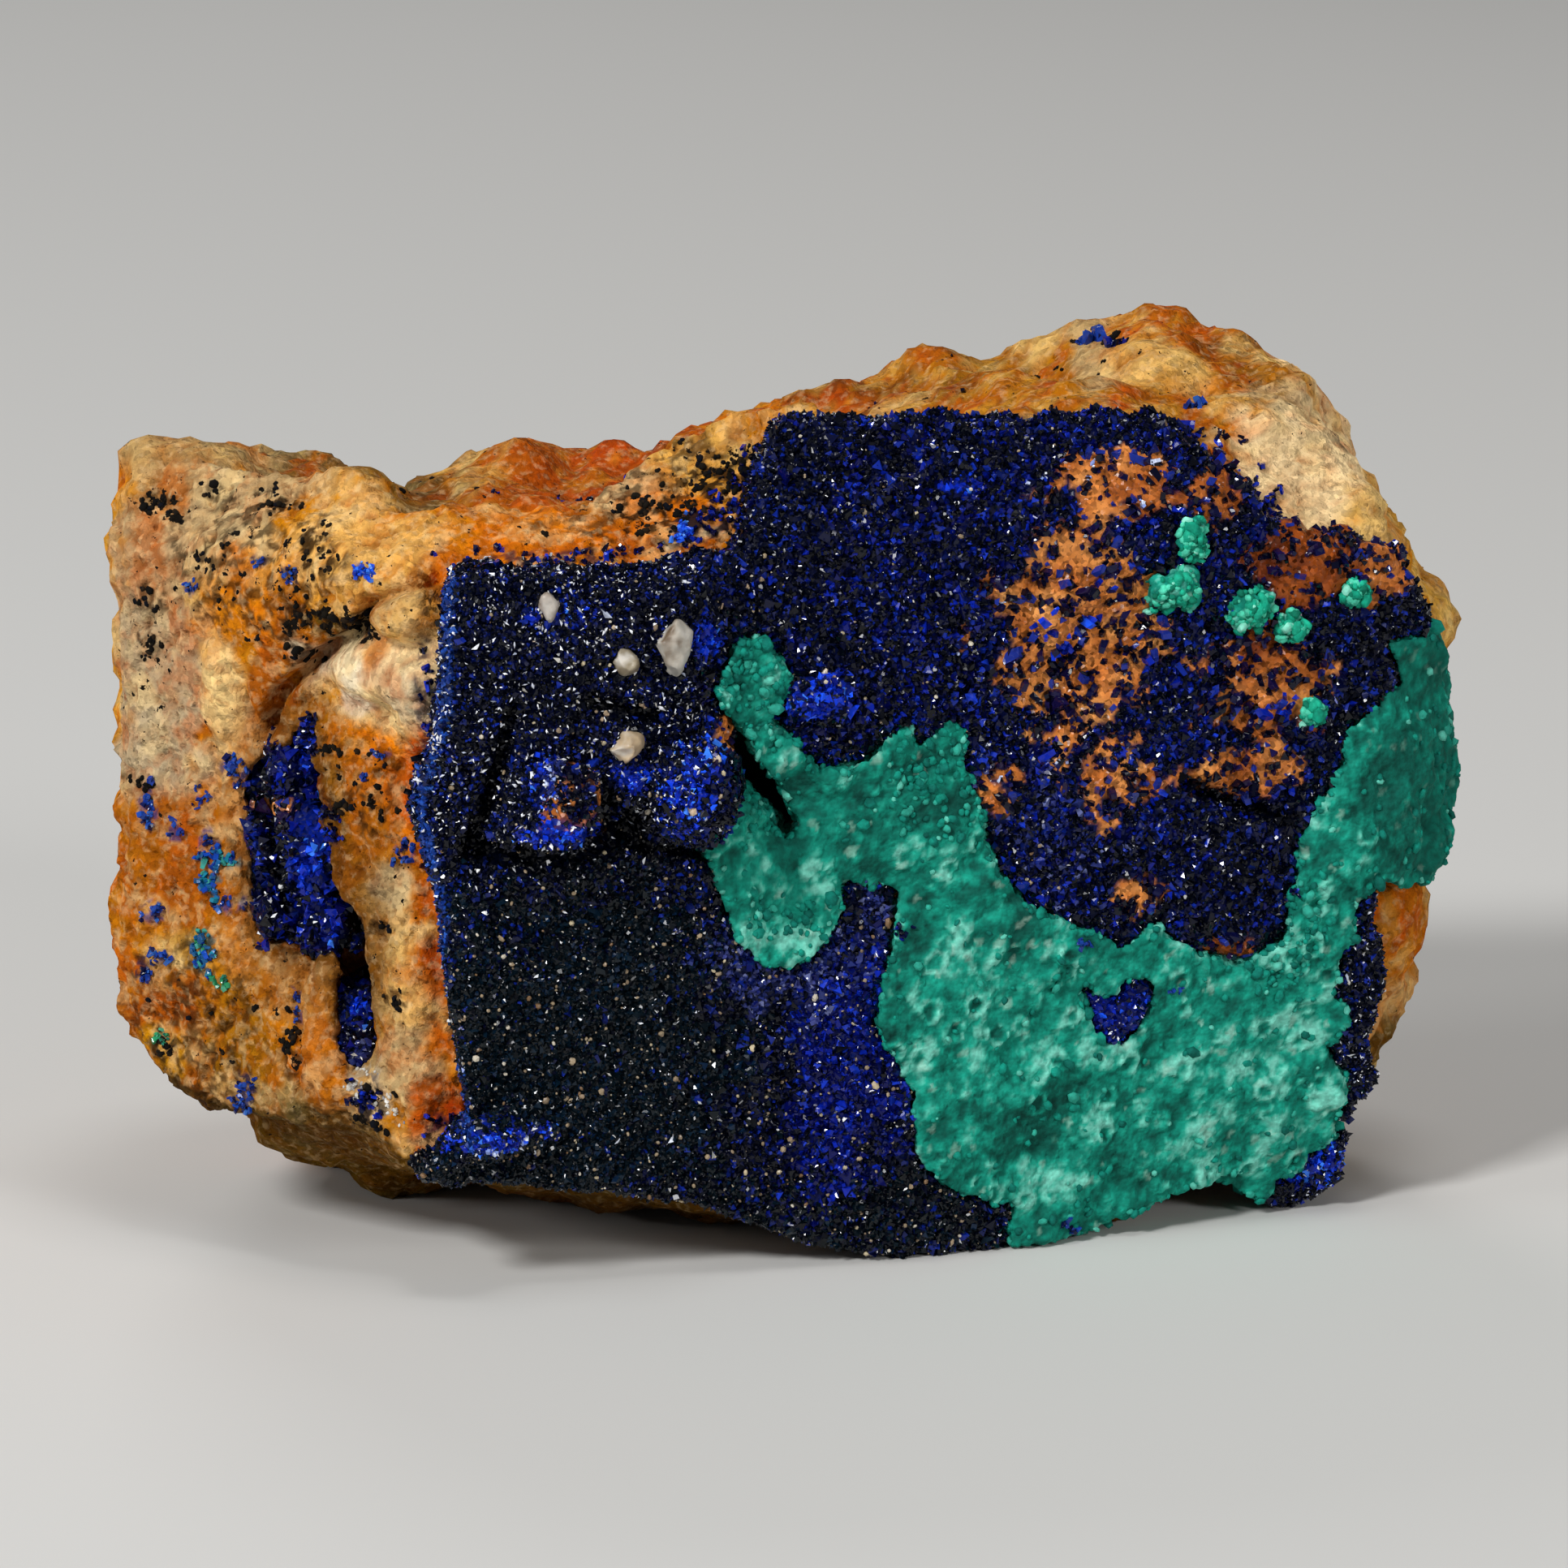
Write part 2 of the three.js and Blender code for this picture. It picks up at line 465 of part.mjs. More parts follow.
function addPiece(name, solid, finish) {
  const { numProp, numVert, vertProperties, triVerts } = solid.getMesh();
  const corners = new Float32Array(numVert * 3);
  for (let i = 0; i < numVert; i++) {
    corners.set(vertProperties.subarray(i * numProp, i * numProp + 3), i * 3);
  }
  const geometry = new THREE.BufferGeometry();
  geometry.setAttribute("position", new THREE.BufferAttribute(corners, 3));
  geometry.setIndex(new THREE.BufferAttribute(triVerts, 1));
  geometry.computeVertexNormals();
  const mesh = new THREE.Mesh(geometry, new THREE.MeshStandardMaterial(FINISHES[finish]));
  mesh.name = name;
  specimen.add(mesh);
}

const hollows = hollow(CLEFT_OUTLINE, CLEFT_DEPTH).add(hollow(VUG_OUTLINE, VUG_DEPTH));
addPiece("sandstone_matrix", makeBlock().subtract(hollows), "sandstone");

const [druse, strip] = makeAzurite();
addPiece("azurite_druse", druse, "azurite");
addPiece("azurite_strip", strip, "azurite");
addPiece("malachite_crust", makeMalachiteCrust(), "malachite");

const [vein, cluster] = makeVein();
addPiece("azurite_vein", vein, "azurite");
addPiece("azurite_cluster", cluster, "azurite");

// A patch of azurite that shows through the malachite, a little below its surface
const windowPlate = layerOnFace((x, z) => malachiteSurface(x, z) - 0.2, () => GAP);
addPiece("azurite_window", windowPlate.intersect(prism(WINDOW_OUTLINE)), "azurite");

// What sits on the azurite keeps clear of it by the same gap
const underGrains = behindFace((x, z) => azuriteSurface(x, z) + GAP);
for (const [name, ...place] of QUARTZ_GRAINS) {
  addPiece(name, makeSeated(...place, underGrains, 0), "quartz");
}
for (const [name, ...place] of MALACHITE_TUFTS) {
  addPiece(name, makeSeated(...place, underGrains, 1), "malachite");
}

export default specimen;
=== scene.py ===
"""The looks of an azurite and malachite specimen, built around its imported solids.

A block of iron-stained sandstone carries a druse of azurite, a lumpy crust of malachite, a cleft with a vein
of azurite crystals, and a few grains of quartz. Lengths in this script are millimetres, and each piece is
turned to metres when it is finished. Places on the front are given as [x, z], as they are seen from there.
"""

import math

import bmesh
import bpy
import numpy as np
from mathutils import Matrix, Vector, noise
from mathutils.bvhtree import BVHTree


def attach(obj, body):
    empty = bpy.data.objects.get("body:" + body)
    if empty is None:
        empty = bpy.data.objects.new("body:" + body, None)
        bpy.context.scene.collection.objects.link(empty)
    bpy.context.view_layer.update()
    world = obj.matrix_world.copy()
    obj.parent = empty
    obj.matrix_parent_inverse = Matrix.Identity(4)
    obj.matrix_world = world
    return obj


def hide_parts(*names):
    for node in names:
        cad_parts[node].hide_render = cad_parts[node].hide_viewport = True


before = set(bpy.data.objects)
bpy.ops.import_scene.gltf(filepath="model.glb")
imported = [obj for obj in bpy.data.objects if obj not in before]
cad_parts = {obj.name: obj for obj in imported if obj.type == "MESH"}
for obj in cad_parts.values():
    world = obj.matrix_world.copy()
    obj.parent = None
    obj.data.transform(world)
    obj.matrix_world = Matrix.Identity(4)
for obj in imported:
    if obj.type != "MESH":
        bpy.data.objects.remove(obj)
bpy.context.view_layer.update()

MM = 0.001

# The photograph's view: straight at the crusted front, a little from above
VIEW_TARGET = Vector((-0.4, 1.1, 19.3))
VIEW_DISTANCE = 300
VIEW_ELEVATION = math.radians(12)
VIEW_WIDTH = 70.9
SENSOR_WIDTH = 36

# The left half of the front: the prow where it meets the right half, and how it runs back from there
PROW = {"x": -16.1, "y": -15.2}
LEFT_SLOPE = 0.62
FAR_LEFT = {"x": -23.4, "y": -11, "slope": 0.85}

# The front reaches back to the first y in full, and ends at the second
FRONT_DEPTH = (-4.5, -3)

# The left and right halves of the druse pass into each other between these x
DRUSE_STEP = (-4.5, -3.5)

# How finely each kind of surface is divided
ROCK_SQUARE = 0.5
DRUSE_SQUARE = 0.28
MALACHITE_SQUARE = 0.16
SMALL_SQUARE = 0.12

# How far the rear of a crust is sunk into what carries it, and the least height of any crystal
SINK = 1.2
CLEAR_OF_GROUND = 0.02


def linear(hex_colour):
    """An sRGB hex colour such as "1a3f9c" as linear red, green and blue."""
    channels = [int(hex_colour[i : i + 2], 16) / 255 for i in (0, 2, 4)]
    return [c / 12.92 if c <= 0.04045 else ((c + 0.055) / 1.055) ** 2.4 for c in channels]


def wave(points, length, octaves=3, shift=0.0):
    """Unevenness at each point, about -1 to 1, in waves `length` mm long with finer ones on them."""
    places = (points / length + shift).tolist()
    return np.array([noise.fractal(place, 1.0, 2.0, octaves) for place in places])


def grains(points, size, shift=0.0):
    """Space filled with grains `size` mm wide. For each point: how far it lies from its grain's middle and
    from the seam to the next grain, both in grain widths, and a number from 0 to 1 of the grain's own."""
    found = [noise.voronoi(place) for place in (points / size + shift).tolist()]
    nearest = np.array([distances[0] for distances, _ in found])
    second = np.array([distances[1] for distances, _ in found])
    middles = np.array([centres[0][:] for _, centres in found])
    own = np.modf(np.abs(np.sin(middles @ (12.99, 78.23, 37.72)) * 4375.5))[0]
    return nearest, second - nearest, own


def smooth(values, low, high):
    """0 up to `low`, 1 from `high` on, and a smooth rise between."""
    share = np.clip((values - low) / (high - low), 0, 1)
    return share * share * (3 - 2 * share)


def ramp(values, stops):
    """Colours for the values, through (value, hex colour) stops."""
    places = [place for place, _ in stops]
    colours = np.array([linear(colour) for _, colour in stops])
    return np.stack([np.interp(values, places, colours[:, i]) for i in range(3)], axis=1)


def tint(colours, hex_colour, weight):
    """Mixes one colour into all the colours, by weight."""
    return colours + (np.array(linear(hex_colour)) - colours) * np.clip(weight, 0, 1)[:, None]


def tint_in_turn(colours, layers):
    """Mixes one colour after another into all the colours. A layer is a hex colour and its weight."""
    for hex_colour, weight in layers:
        colours = tint(colours, hex_colour, weight)
    return colours


def deepen(colours, share):
    """Stronger colours: each is moved away from its own grey by a share of the difference."""
    grey = colours.mean(axis=1, keepdims=True)
    return np.clip(grey + (colours - grey) * (1 + share), 0.004, 1)


def within(points, patch, ragged=0.0, soft=0.3):
    """1 inside an ellipse [x, z, half width, half height] on the front and 0 outside, with a ragged edge."""
    x, z, half_width, half_height = patch
    distance = np.hypot((points[:, 0] - x) / half_width, (points[:, 2] - z) / half_height)
    return 1 - smooth(distance + ragged, 1 - soft, 1 + soft)


def along(points, line, half_width):
    """1 on a line of [x, z] points across the front, falling to 0 at its half width."""
    nearest = np.full(len(points), 1e9)
    flat = points[:, [0, 2]]
    for start, end in zip(np.array(line[:-1], float), np.array(line[1:], float)):
        way = end - start
        share = np.clip(((flat - start) @ way) / (way @ way), 0, 1)
        nearest = np.minimum(nearest, np.linalg.norm(flat - start - share[:, None] * way, axis=1))
    return 1 - smooth(nearest, 0, half_width)


def dome(points, patch, ragged, flatness):
    """The height of a lump over an ellipse on the front: 1 in its middle and 0 from its edge on, with a
    flatter top and steeper sides the smaller the flatness number is."""
    x, z, half_width, half_height = patch
    distance = np.hypot((points[:, 0] - x) / half_width, (points[:, 2] - z) / half_height) + ragged
    return np.clip(1 - distance**2, 0, 1) ** flatness


def behind_left_face(points):
    """How far each point lies behind the left half of the front."""
    near = PROW["y"] + (PROW["x"] - points[:, 0]) * LEFT_SLOPE
    far = FAR_LEFT["y"] + (FAR_LEFT["x"] - points[:, 0]) * FAR_LEFT["slope"]
    return points[:, 1] - np.maximum(near, far)


def front_share(points, facing, low, high):
    """1 on what the front shows and 0 behind it, with a smooth rise where the surface turns away."""
    return smooth(-facing[:, 1], low, high) * (1 - smooth(points[:, 1], *FRONT_DEPTH))


def points_of(piece):
    flat = np.empty(len(piece.data.vertices) * 3)
    piece.data.vertices.foreach_get("co", flat)
    return flat.reshape(-1, 3)


def facing_of(piece):
    flat = np.empty(len(piece.data.vertices) * 3)
    piece.data.vertex_normals.foreach_get("vector", flat)
    return flat.reshape(-1, 3)


def reshape(piece, heights):
    """Moves each point outwards by its height, but none lower than the ground."""
    points = points_of(piece) + facing_of(piece) * heights[:, None]
    points[:, 2] = np.maximum(points[:, 2], 0)
    piece.data.vertices.foreach_set("co", points.ravel())
    piece.data.update()


def colour_points(piece, name, colours):
    layer = piece.data.color_attributes.new(name, "FLOAT_COLOR", "POINT")
    layer.data.foreach_set("color", np.column_stack([colours, np.ones(len(colours))]).ravel())


def number_points(piece, name, values):
    layer = piece.data.attributes.new(name, "FLOAT", "POINT")
    layer.data.foreach_set("value", values)


def new_object(name, data):
    """An object of the scene, made of a mesh, a lamp or a camera."""
    made = bpy.data.objects.new(name, data)
    bpy.context.scene.collection.objects.link(made)
    return made


def new_piece(name, form):
    """An object made of a bmesh, which is used up."""
    mesh = bpy.data.meshes.new(name)
    form.to_mesh(mesh)
    form.free()
    return new_object(name, mesh)


def apply_modifiers(piece):
    rough = piece.data
    drawn = piece.evaluated_get(bpy.context.evaluated_depsgraph_get())
    piece.data = bpy.data.meshes.new_from_object(drawn)
    piece.modifiers.clear()
    bpy.data.meshes.remove(rough)


def even_copy(node, name, square, smoothings, sink=0.0):
    """A copy of a solid, remade in even squares with its facets worn round. Its rear is first sunk back into
    what carries it."""
    form = bmesh.new()
    form.from_mesh(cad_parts[node].data)
    bmesh.ops.scale(form, vec=(1 / MM, 1 / MM, 1 / MM), verts=form.verts)
    bmesh.ops.remove_doubles(form, verts=form.verts, dist=0.002)
    form.normal_update()
    rear = [v for v in form.verts if v.normal.y > 0.3]
    bmesh.ops.translate(form, vec=(0, sink, 0), verts=rear)
    piece = new_piece(name, form)
    squares = piece.modifiers.new("squares", "REMESH")
    squares.mode = "VOXEL"
    squares.voxel_size = square
    wear = piece.modifiers.new("wear", "SMOOTH")
    wear.iterations = smoothings
    apply_modifiers(piece)
    return piece


def finish_piece(piece, look, nodes=(), is_smooth=True):
    """Gives a piece its material, turns it to metres and fixes it to the specimen, in place of its solids."""
    material, slot = LOOKS[look]
    piece.data.transform(Matrix.Scale(MM, 4))
    piece.data.materials.clear()
    piece.data.materials.append(material)
    if is_smooth:
        piece.data.shade_smooth()
    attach(piece, "root")
    if nodes:
        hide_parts(*nodes)


def add(tree, kind, settings=(), inputs=()):
    """Adds a shader node, sets its properties, and fills its inputs with values or other nodes' outputs."""
    made = tree.nodes.new("ShaderNode" + kind)
    for name, value in dict(settings).items():
        setattr(made, name, value)
    for name, value in dict(inputs).items():
        if isinstance(value, bpy.types.NodeSocket):
            tree.links.new(value, made.inputs[name])
        else:
            made.inputs[name].default_value = value
    return made


def new_material(name):
    """A material with an empty tree, and the object's own coordinates in it."""
    material = bpy.data.materials.new(name)
    material.use_nodes = True
    material.node_tree.nodes.clear()
    return material, material.node_tree, add(material.node_tree, "TexCoord").outputs["Object"]


def new_mineral(name):
    """A mineral's material: as a new one, and with the stain that is painted on the mineral's pieces."""
    material, tree, place = new_material(name)
    return material, tree, place, add(tree, "Attribute", {"attribute_name": "stain"}).outputs["Color"]


def close_material(tree, inputs):
    """Ends a material's tree with a surface that has the given values and links."""
    surface = add(tree, "BsdfPrincipled", (), inputs)
    add(tree, "OutputMaterial", (), {"Surface": surface.outputs["BSDF"]})


def pattern_scale(size):
    """The scale of a noise or cell texture whose features are `size` mm wide."""
    return 1 / (size * MM)


def cell_numbers(tree, place, size):
    """Random numbers of their own for cells `size` mm wide: "Red", "Green" and "Blue"."""
    cells = add(tree, "TexVoronoi", (), {"Vector": place, "Scale": pattern_scale(size)})
    return add(tree, "SeparateColor", (), {"Color": cells.outputs["Color"]}).outputs


def facets(tree, place, size, tilt):
    """A normal broken into cells `size` mm wide, each tilted its own way, as small crystal faces are."""
    cells = add(tree, "TexVoronoi", (), {"Vector": place, "Scale": pattern_scale(size)}).outputs["Color"]
    offset = add(tree, "VectorMath", {"operation": "SUBTRACT"}, {0: cells, 1: (0.5, 0.5, 0.5)})
    scaled = add(tree, "VectorMath", {"operation": "SCALE"}, {0: offset.outputs["Vector"], "Scale": tilt})
    normal = add(tree, "NewGeometry").outputs["Normal"]
    tilted = add(tree, "VectorMath", (), {0: normal, 1: scaled.outputs["Vector"]}).outputs["Vector"]
    return add(tree, "VectorMath", {"operation": "NORMALIZE"}, {0: tilted}).outputs["Vector"]


def shaded(tree, colour, number, darkest, lightest, low=0.0, high=1.0):
    """A colour made darker or lighter by a number that runs from low to high."""
    shade = add(
        tree, "MapRange", (),
        {"Value": number, "From Min": low, "From Max": high, "To Min": darkest, "To Max": lightest},
    )
    made = add(tree, "VectorMath", {"operation": "SCALE"}, {0: colour, "Scale": shade.outputs["Result"]})
    return made.outputs["Vector"]


def laid_over(tree, under, hex_colour, number, low, high, most=1.0):
    """A colour laid over another: none of it where the number is low, and `most` of it where it is high."""
    share = add(
        tree, "MapRange", {"interpolation_type": "SMOOTHSTEP"},
        {"Value": number, "From Min": low, "From Max": high, "To Max": most},
    )
    over = (*linear(hex_colour), 1)
    return add(
        tree, "Mix", {"data_type": "RGBA"}, {0: share.outputs["Result"], 6: under, 7: over}
    ).outputs[2]


# Iron-stained sandstone, broken by hand: a dull sugary surface of 0.3 mm quartz grains. The eye gets a warm
# stain that changes from grain to grain, black specks of manganese oxide, and hardly any gloss.
def make_sandstone_material():
    material, tree, place, stain = new_mineral("iron_stained_sandstone")
    speckle = add(tree, "Attribute", {"attribute_name": "speckle"}).outputs["Fac"]
    own = cell_numbers(tree, place, 0.3)
    # Clouds of iron rust, and bare pale grains between them, but not where the stain is dark, as under a dark
    # film or the painted shade
    light = add(tree, "RGBToBW", (), {"Color": stain}).outputs["Val"]
    is_open = add(
        tree, "MapRange", (), {"Value": light, "From Min": 0.015, "From Max": 0.08}
    ).outputs["Result"]
    rust_share = add(tree, "Math", {"operation": "MULTIPLY"}, {0: is_open, 1: 0.26}).outputs["Value"]
    bare_share = add(tree, "Math", {"operation": "MULTIPLY"}, {0: is_open, 1: 0.24}).outputs["Value"]
    rusty = add(
        tree, "TexNoise", (), {"Vector": place, "Scale": pattern_scale(1.6), "Detail": 6.0, "Roughness": 0.75}
    )
    bare = add(tree, "TexNoise", (), {"Vector": place, "Scale": pattern_scale(0.4), "Detail": 5.0})
    base = laid_over(tree, stain, "ac6018", rusty.outputs["Fac"], 0.46, 0.64, rust_share)
    base = laid_over(tree, base, "dfc592", bare.outputs["Fac"], 0.5, 0.68, bare_share)
    base = shaded(tree, base, own["Red"], 0.74, 1.2)
    # Ragged specks of oxide, more of them where the surface is speckled
    blot = add(
        tree, "TexNoise", (), {"Vector": place, "Scale": pattern_scale(0.5), "Detail": 4.0, "Roughness": 0.6}
    )
    crowded = add(tree, "Math", {"operation": "MULTIPLY_ADD"}, {0: speckle, 1: 0.32, 2: blot.outputs["Fac"]})
    base = laid_over(tree, base, "14100c", crowded.outputs["Value"], 0.68, 0.7)
    fine = add(tree, "TexNoise", (), {"Vector": place, "Scale": pattern_scale(0.16), "Detail": 3.0})
    bump = add(
        tree, "Bump", (),
        {
            "Height": fine.outputs["Fac"],
            "Strength": 0.9,
            "Distance": 0.1 * MM,
            "Normal": facets(tree, place, 0.24, 0.8),
        },
    )
    rough = add(tree, "MapRange", (), {"Value": own["Blue"], "To Min": 0.7, "To Max": 1.0})
    close_material(tree, {
        "Base Color": base,
        "Roughness": rough.outputs["Result"],
        "Specular IOR Level": 0.05,
        "Normal": bump.outputs["Normal"],
    })
    return material


# The ground of a druse: azurite too fine to show as crystals. Cells of 0.17 mm, each tilted its own way, give
# the eye a dark sugary sparkle between the crystals that stand on it.
def make_druse_material():
    material, tree, place, ground = new_mineral("drusy_azurite")
    own = cell_numbers(tree, place, 0.17)
    close_material(tree, {
        "Base Color": shaded(tree, ground, own["Red"], 0.4, 1.5),
        "Roughness": 0.2,
        "Specular IOR Level": 0.16,
        "Normal": facets(tree, place, 0.17, 1.2),
    })
    return material


# Azurite crystals, grown with flat glassy faces: near black to electric blue, each with a sharp white glint
# where a face meets the light.
def make_crystal_material():
    material, tree, place, own_tint = new_mineral("glassy_azurite_crystals")
    cloud = add(tree, "TexNoise", (), {"Vector": place, "Scale": pattern_scale(0.5), "Detail": 2.0})
    close_material(tree, {
        "Base Color": shaded(tree, own_tint, cloud.outputs["Fac"], 0.5, 1.5),
        "Roughness": 0.13,
        "Specular IOR Level": 0.28,
        "Normal": facets(tree, place, 0.2, 0.5),
    })
    return material


# Manganese oxide, dried from water as soft black specks on the stone: dull and sooty, with no gloss.
def make_oxide_material():
    material, tree, _, own_tint = new_mineral("sooty_manganese_oxide")
    close_material(tree, {"Base Color": own_tint, "Roughness": 0.9, "Specular IOR Level": 0.1})
    return material


# Malachite grown as a crust of tiny balls and cups: dull and velvety, blue-green, with a fine mottle. Its
# paler rims and dark hollows are painted into its stain as highlight and shade that follow the shape.
def make_malachite_material():
    material, tree, place, ground = new_mineral("botryoidal_malachite")
    mottle = add(tree, "TexNoise", (), {"Vector": place, "Scale": pattern_scale(0.4), "Detail": 4.0})
    cells = add(tree, "TexVoronoi", (), {"Vector": place, "Scale": pattern_scale(0.2)}).outputs["Distance"]
    ball_bump = add(
        tree, "Bump", {"invert": True}, {"Height": cells, "Strength": 0.5, "Distance": 0.1 * MM}
    )
    close_material(tree, {
        "Base Color": shaded(tree, ground, mottle.outputs["Fac"], 0.65, 1.35, 0.3, 0.7),
        "Roughness": 0.8,
        "Specular IOR Level": 0.15,
        "Normal": ball_bump.outputs["Normal"],
    })
    return material


# Milky quartz, broken: pale, waxy and a little translucent, with a faint warm stain.
def make_quartz_material():
    material, tree, place, ground = new_mineral("milky_quartz")
    cloud = add(tree, "TexNoise", (), {"Vector": place, "Scale": pattern_scale(0.7), "Detail": 4.0})
    bump = add(tree, "Bump", (), {"Height": cloud.outputs["Fac"], "Strength": 0.4, "Distance": 0.1 * MM})
    close_material(tree, {
        "Base Color": shaded(tree, ground, cloud.outputs["Fac"], 0.7, 1.15, 0.3, 0.7),
        "Roughness": 0.42,
        "Normal": bump.outputs["Normal"],
        "IOR": 1.54,
        "Subsurface Weight": 0.3,
        "Subsurface Radius": (1.0, 0.8, 0.6),
        "Subsurface Scale": 0.3 * MM,
    })
    return material


# Stains on the front of the sandstone, two of them painted shade at the crack of the left face: [x, z, half
# width, half height], colour, how strong
FACE_STAINS = [
    ([-27.8, 26.6, 2.4, 6.4], "b0a494", 0.95),
    ([-25.0, 34.9, 5.0, 1.3], "a4947a", 0.85),
    ([-27.4, 31.4, 2.0, 2.6], "b09a80", 0.9),
    ([-27.2, 33.7, 2.4, 1.3], "a88c6c", 0.8),
    ([-27.3, 33.8, 0.8, 1.0], "a4602c", 0.7),
    ([-27.9, 22.4, 2.1, 2.4], "b8ae9e", 0.9),
    ([-24.2, 32.4, 2.3, 2.4], "b8aa90", 0.9),
    ([-23.4, 29.4, 2.6, 2.6], "d08434", 0.75),
    ([-21.0, 31.6, 1.9, 2.0], "d9a45c", 0.6),
    ([-17.8, 32.6, 3.6, 1.7], "dcb478", 0.85),
    ([-21.6, 28.6, 1.8, 1.6], "c0701e", 0.75),
    ([-24.7, 25.6, 0.9, 2.4], "f2dcae", 0.95),
    # Painted shade in a rust brown, along the crack of the left face
    ([-22.9, 25.4, 0.8, 2.3], "9c5622", 0.8),
    ([-21.6, 24.0, 1.0, 1.2], "dfa160", 0.7),
    ([-22.4, 22.2, 1.0, 1.2], "cc6a2a", 0.7),
    ([-16.6, 30.4, 1.8, 1.6], "dcae6a", 0.95),
    ([-18.4, 27.4, 2.6, 1.5], "f0ebe0", 1.0),
    ([-17.4, 28.2, 1.0, 0.7], "dfae58", 0.7),
    ([-15.7, 27.2, 1.8, 2.0], "efe0c4", 0.95),
    ([-19.4, 26.2, 1.2, 0.8], "e2b058", 0.6),
    # Painted shade in a dark olive, in the crack below the upper mass of the left face
    ([-19.8, 29.1, 1.8, 0.8], "3c3a1c", 0.85),
    ([12.4, 36.2, 3.4, 0.6], "dccbb0", 0.85),
    ([-18.0, 22.4, 1.9, 3.4], "e88a0c", 0.95),
    ([-17.4, 25.8, 2.1, 1.1], "ecd8b0", 0.95),
    ([-18.8, 25.9, 0.9, 0.7], "f2ece4", 0.95),
    ([-15.9, 26.2, 1.1, 1.3], "d6cebe", 0.95),
    ([-15.9, 23.6, 0.9, 1.5], "d06c2c", 0.85),
    ([-17.0, 19.6, 1.6, 2.0], "d88e38", 0.8),
    ([-17.4, 16.6, 1.3, 2.2], "ecc488", 0.9),
    ([-17.2, 17.6, 0.8, 1.0], "cfc6b2", 0.8),
    ([-16.6, 12.6, 1.4, 3.0], "e4c48c", 0.9),
    ([-16.9, 9.6, 1.5, 2.0], "c2b294", 0.9),
    ([-18.2, 8.2, 1.0, 0.9], "e0cdb4", 0.9),
    ([-24.0, 20.0, 1.2, 4.4], "c49a6c", 0.8),
    ([-24.2, 15.4, 1.3, 3.0], "bc8450", 0.8),
    ([-27.2, 17.2, 2.4, 3.6], "9c580a", 0.9),
    ([-27.0, 13.6, 1.6, 1.0], "b59d62", 0.7),
    ([-27.4, 10.8, 2.4, 2.2], "a0580a", 0.9),
    ([-24.6, 9.8, 1.8, 2.4], "98702a", 0.7),
    ([-28.0, 8.6, 1.2, 1.2], "cfa548", 0.6),
    ([-21.4, 12.2, 1.7, 2.0], "b4804e", 0.8),
    ([-20.4, 9.4, 1.5, 2.0], "b06a34", 0.7),
    ([-22.8, 7.2, 1.6, 1.1], "a89a74", 0.8),
    ([-20.0, 7.2, 1.2, 0.7], "d09a6a", 0.8),
    ([-15.2, 7.6, 1.6, 1.6], "b04a16", 0.9),
    ([-10.8, 33.2, 3.4, 1.1], "cf7826", 0.85),
    ([-8.0, 34.6, 2.4, 1.1], "dcc8a6", 0.9),
    ([-5.4, 33.4, 2.8, 1.0], "cc7428", 0.7),
    ([-3.6, 35.6, 2.8, 1.2], "dab472", 0.85),
    ([-2.2, 34.2, 1.6, 1.0], "d39a4c", 0.7),
]

# How much wider than its half width each stain along an edge fades out
EDGE_FADE = 1.6

# Stains near its edge with the druse, and painted shade along the crack of the left face, as lines on the
# front: [x, z] points, half width, colour, how strong
EDGE_STAINS = [
    ([[-14.9, 31.8], [-15.0, 30.2]], 0.8, "b5480f", 0.6),
    ([[-15.7, 24.8], [-16.8, 22], [-15.5, 18], [-15.4, 12], [-14.2, 7]], 0.9, "b5480f", 0.8),
    ([[-15.0, 32.4], [-9, 32.2], [-3, 32.4], [-1.6, 34]], 0.8, "c0621c", 0.7),
    # Painted shade in a dark brown, along the crack below the upper mass of the left face
    ([[-22.9, 24], [-20.4, 27.4], [-18.2, 30], [-15.4, 31.4]], 0.45, "4a3018", 0.75),
    ([[-5.4, 32.4], [-4.0, 32.8], [-2.2, 33.0]], 0.2, "b8bab8", 0.9),
]

# Stains of the ridge behind, seen over the front: [x, z, half width, half height], colour, how strong
RIDGE_STAINS = [
    ([2.5, 35.5, 6.0, 2.0], "94540a", 0.9),
    ([10.0, 36.5, 7.0, 2.6], "98681c", 0.9),
    ([17.5, 37.5, 4.5, 2.5], "986010", 0.9),
    ([13.6, 37.9, 1.0, 0.9], "b0a48e", 0.8),
    ([22.5, 33.6, 3.4, 3.2], "f6ead4", 0.95),
    ([20.6, 31.8, 2.0, 1.4], "cdbda4", 0.8),
    ([25.6, 31.0, 1.8, 1.2], "d3bd96", 0.8),
    ([-11.0, 32.4, 6.5, 2.2], "8c4c10", 0.85),
    ([-20.2, 33.2, 5.4, 2.6], "5c5440", 0.95),
    ([-26.8, 34.8, 3.8, 2.4], "a4967c", 0.9),
    ([-8.4, 35.0, 1.8, 0.9], "d8c4a4", 0.8),
    ([27.6, 11.4, 2.2, 4.0], "a96a30", 0.85),
    ([27.8, 8.6, 1.8, 1.4], "cab594", 0.8),
]

# Cracks across the left face: [x, z] points, half width, depth
CRACKS = [
    ([[-23.1, 23.8], [-22.4, 25.6], [-20.6, 27.4], [-18.6, 29.0], [-18.2, 30.4], [-15.2, 31.9]], 0.5, 1.1),
    ([[-25.6, 29.2], [-24.3, 26.4], [-23.4, 24.2]], 0.4, 0.35),
    ([[-20.9, 14.2], [-21.8, 12.4], [-21.7, 9.2]], 0.35, 0.4),
    ([[-18.4, 15.4], [-17.2, 15.0]], 0.3, 0.3),
]

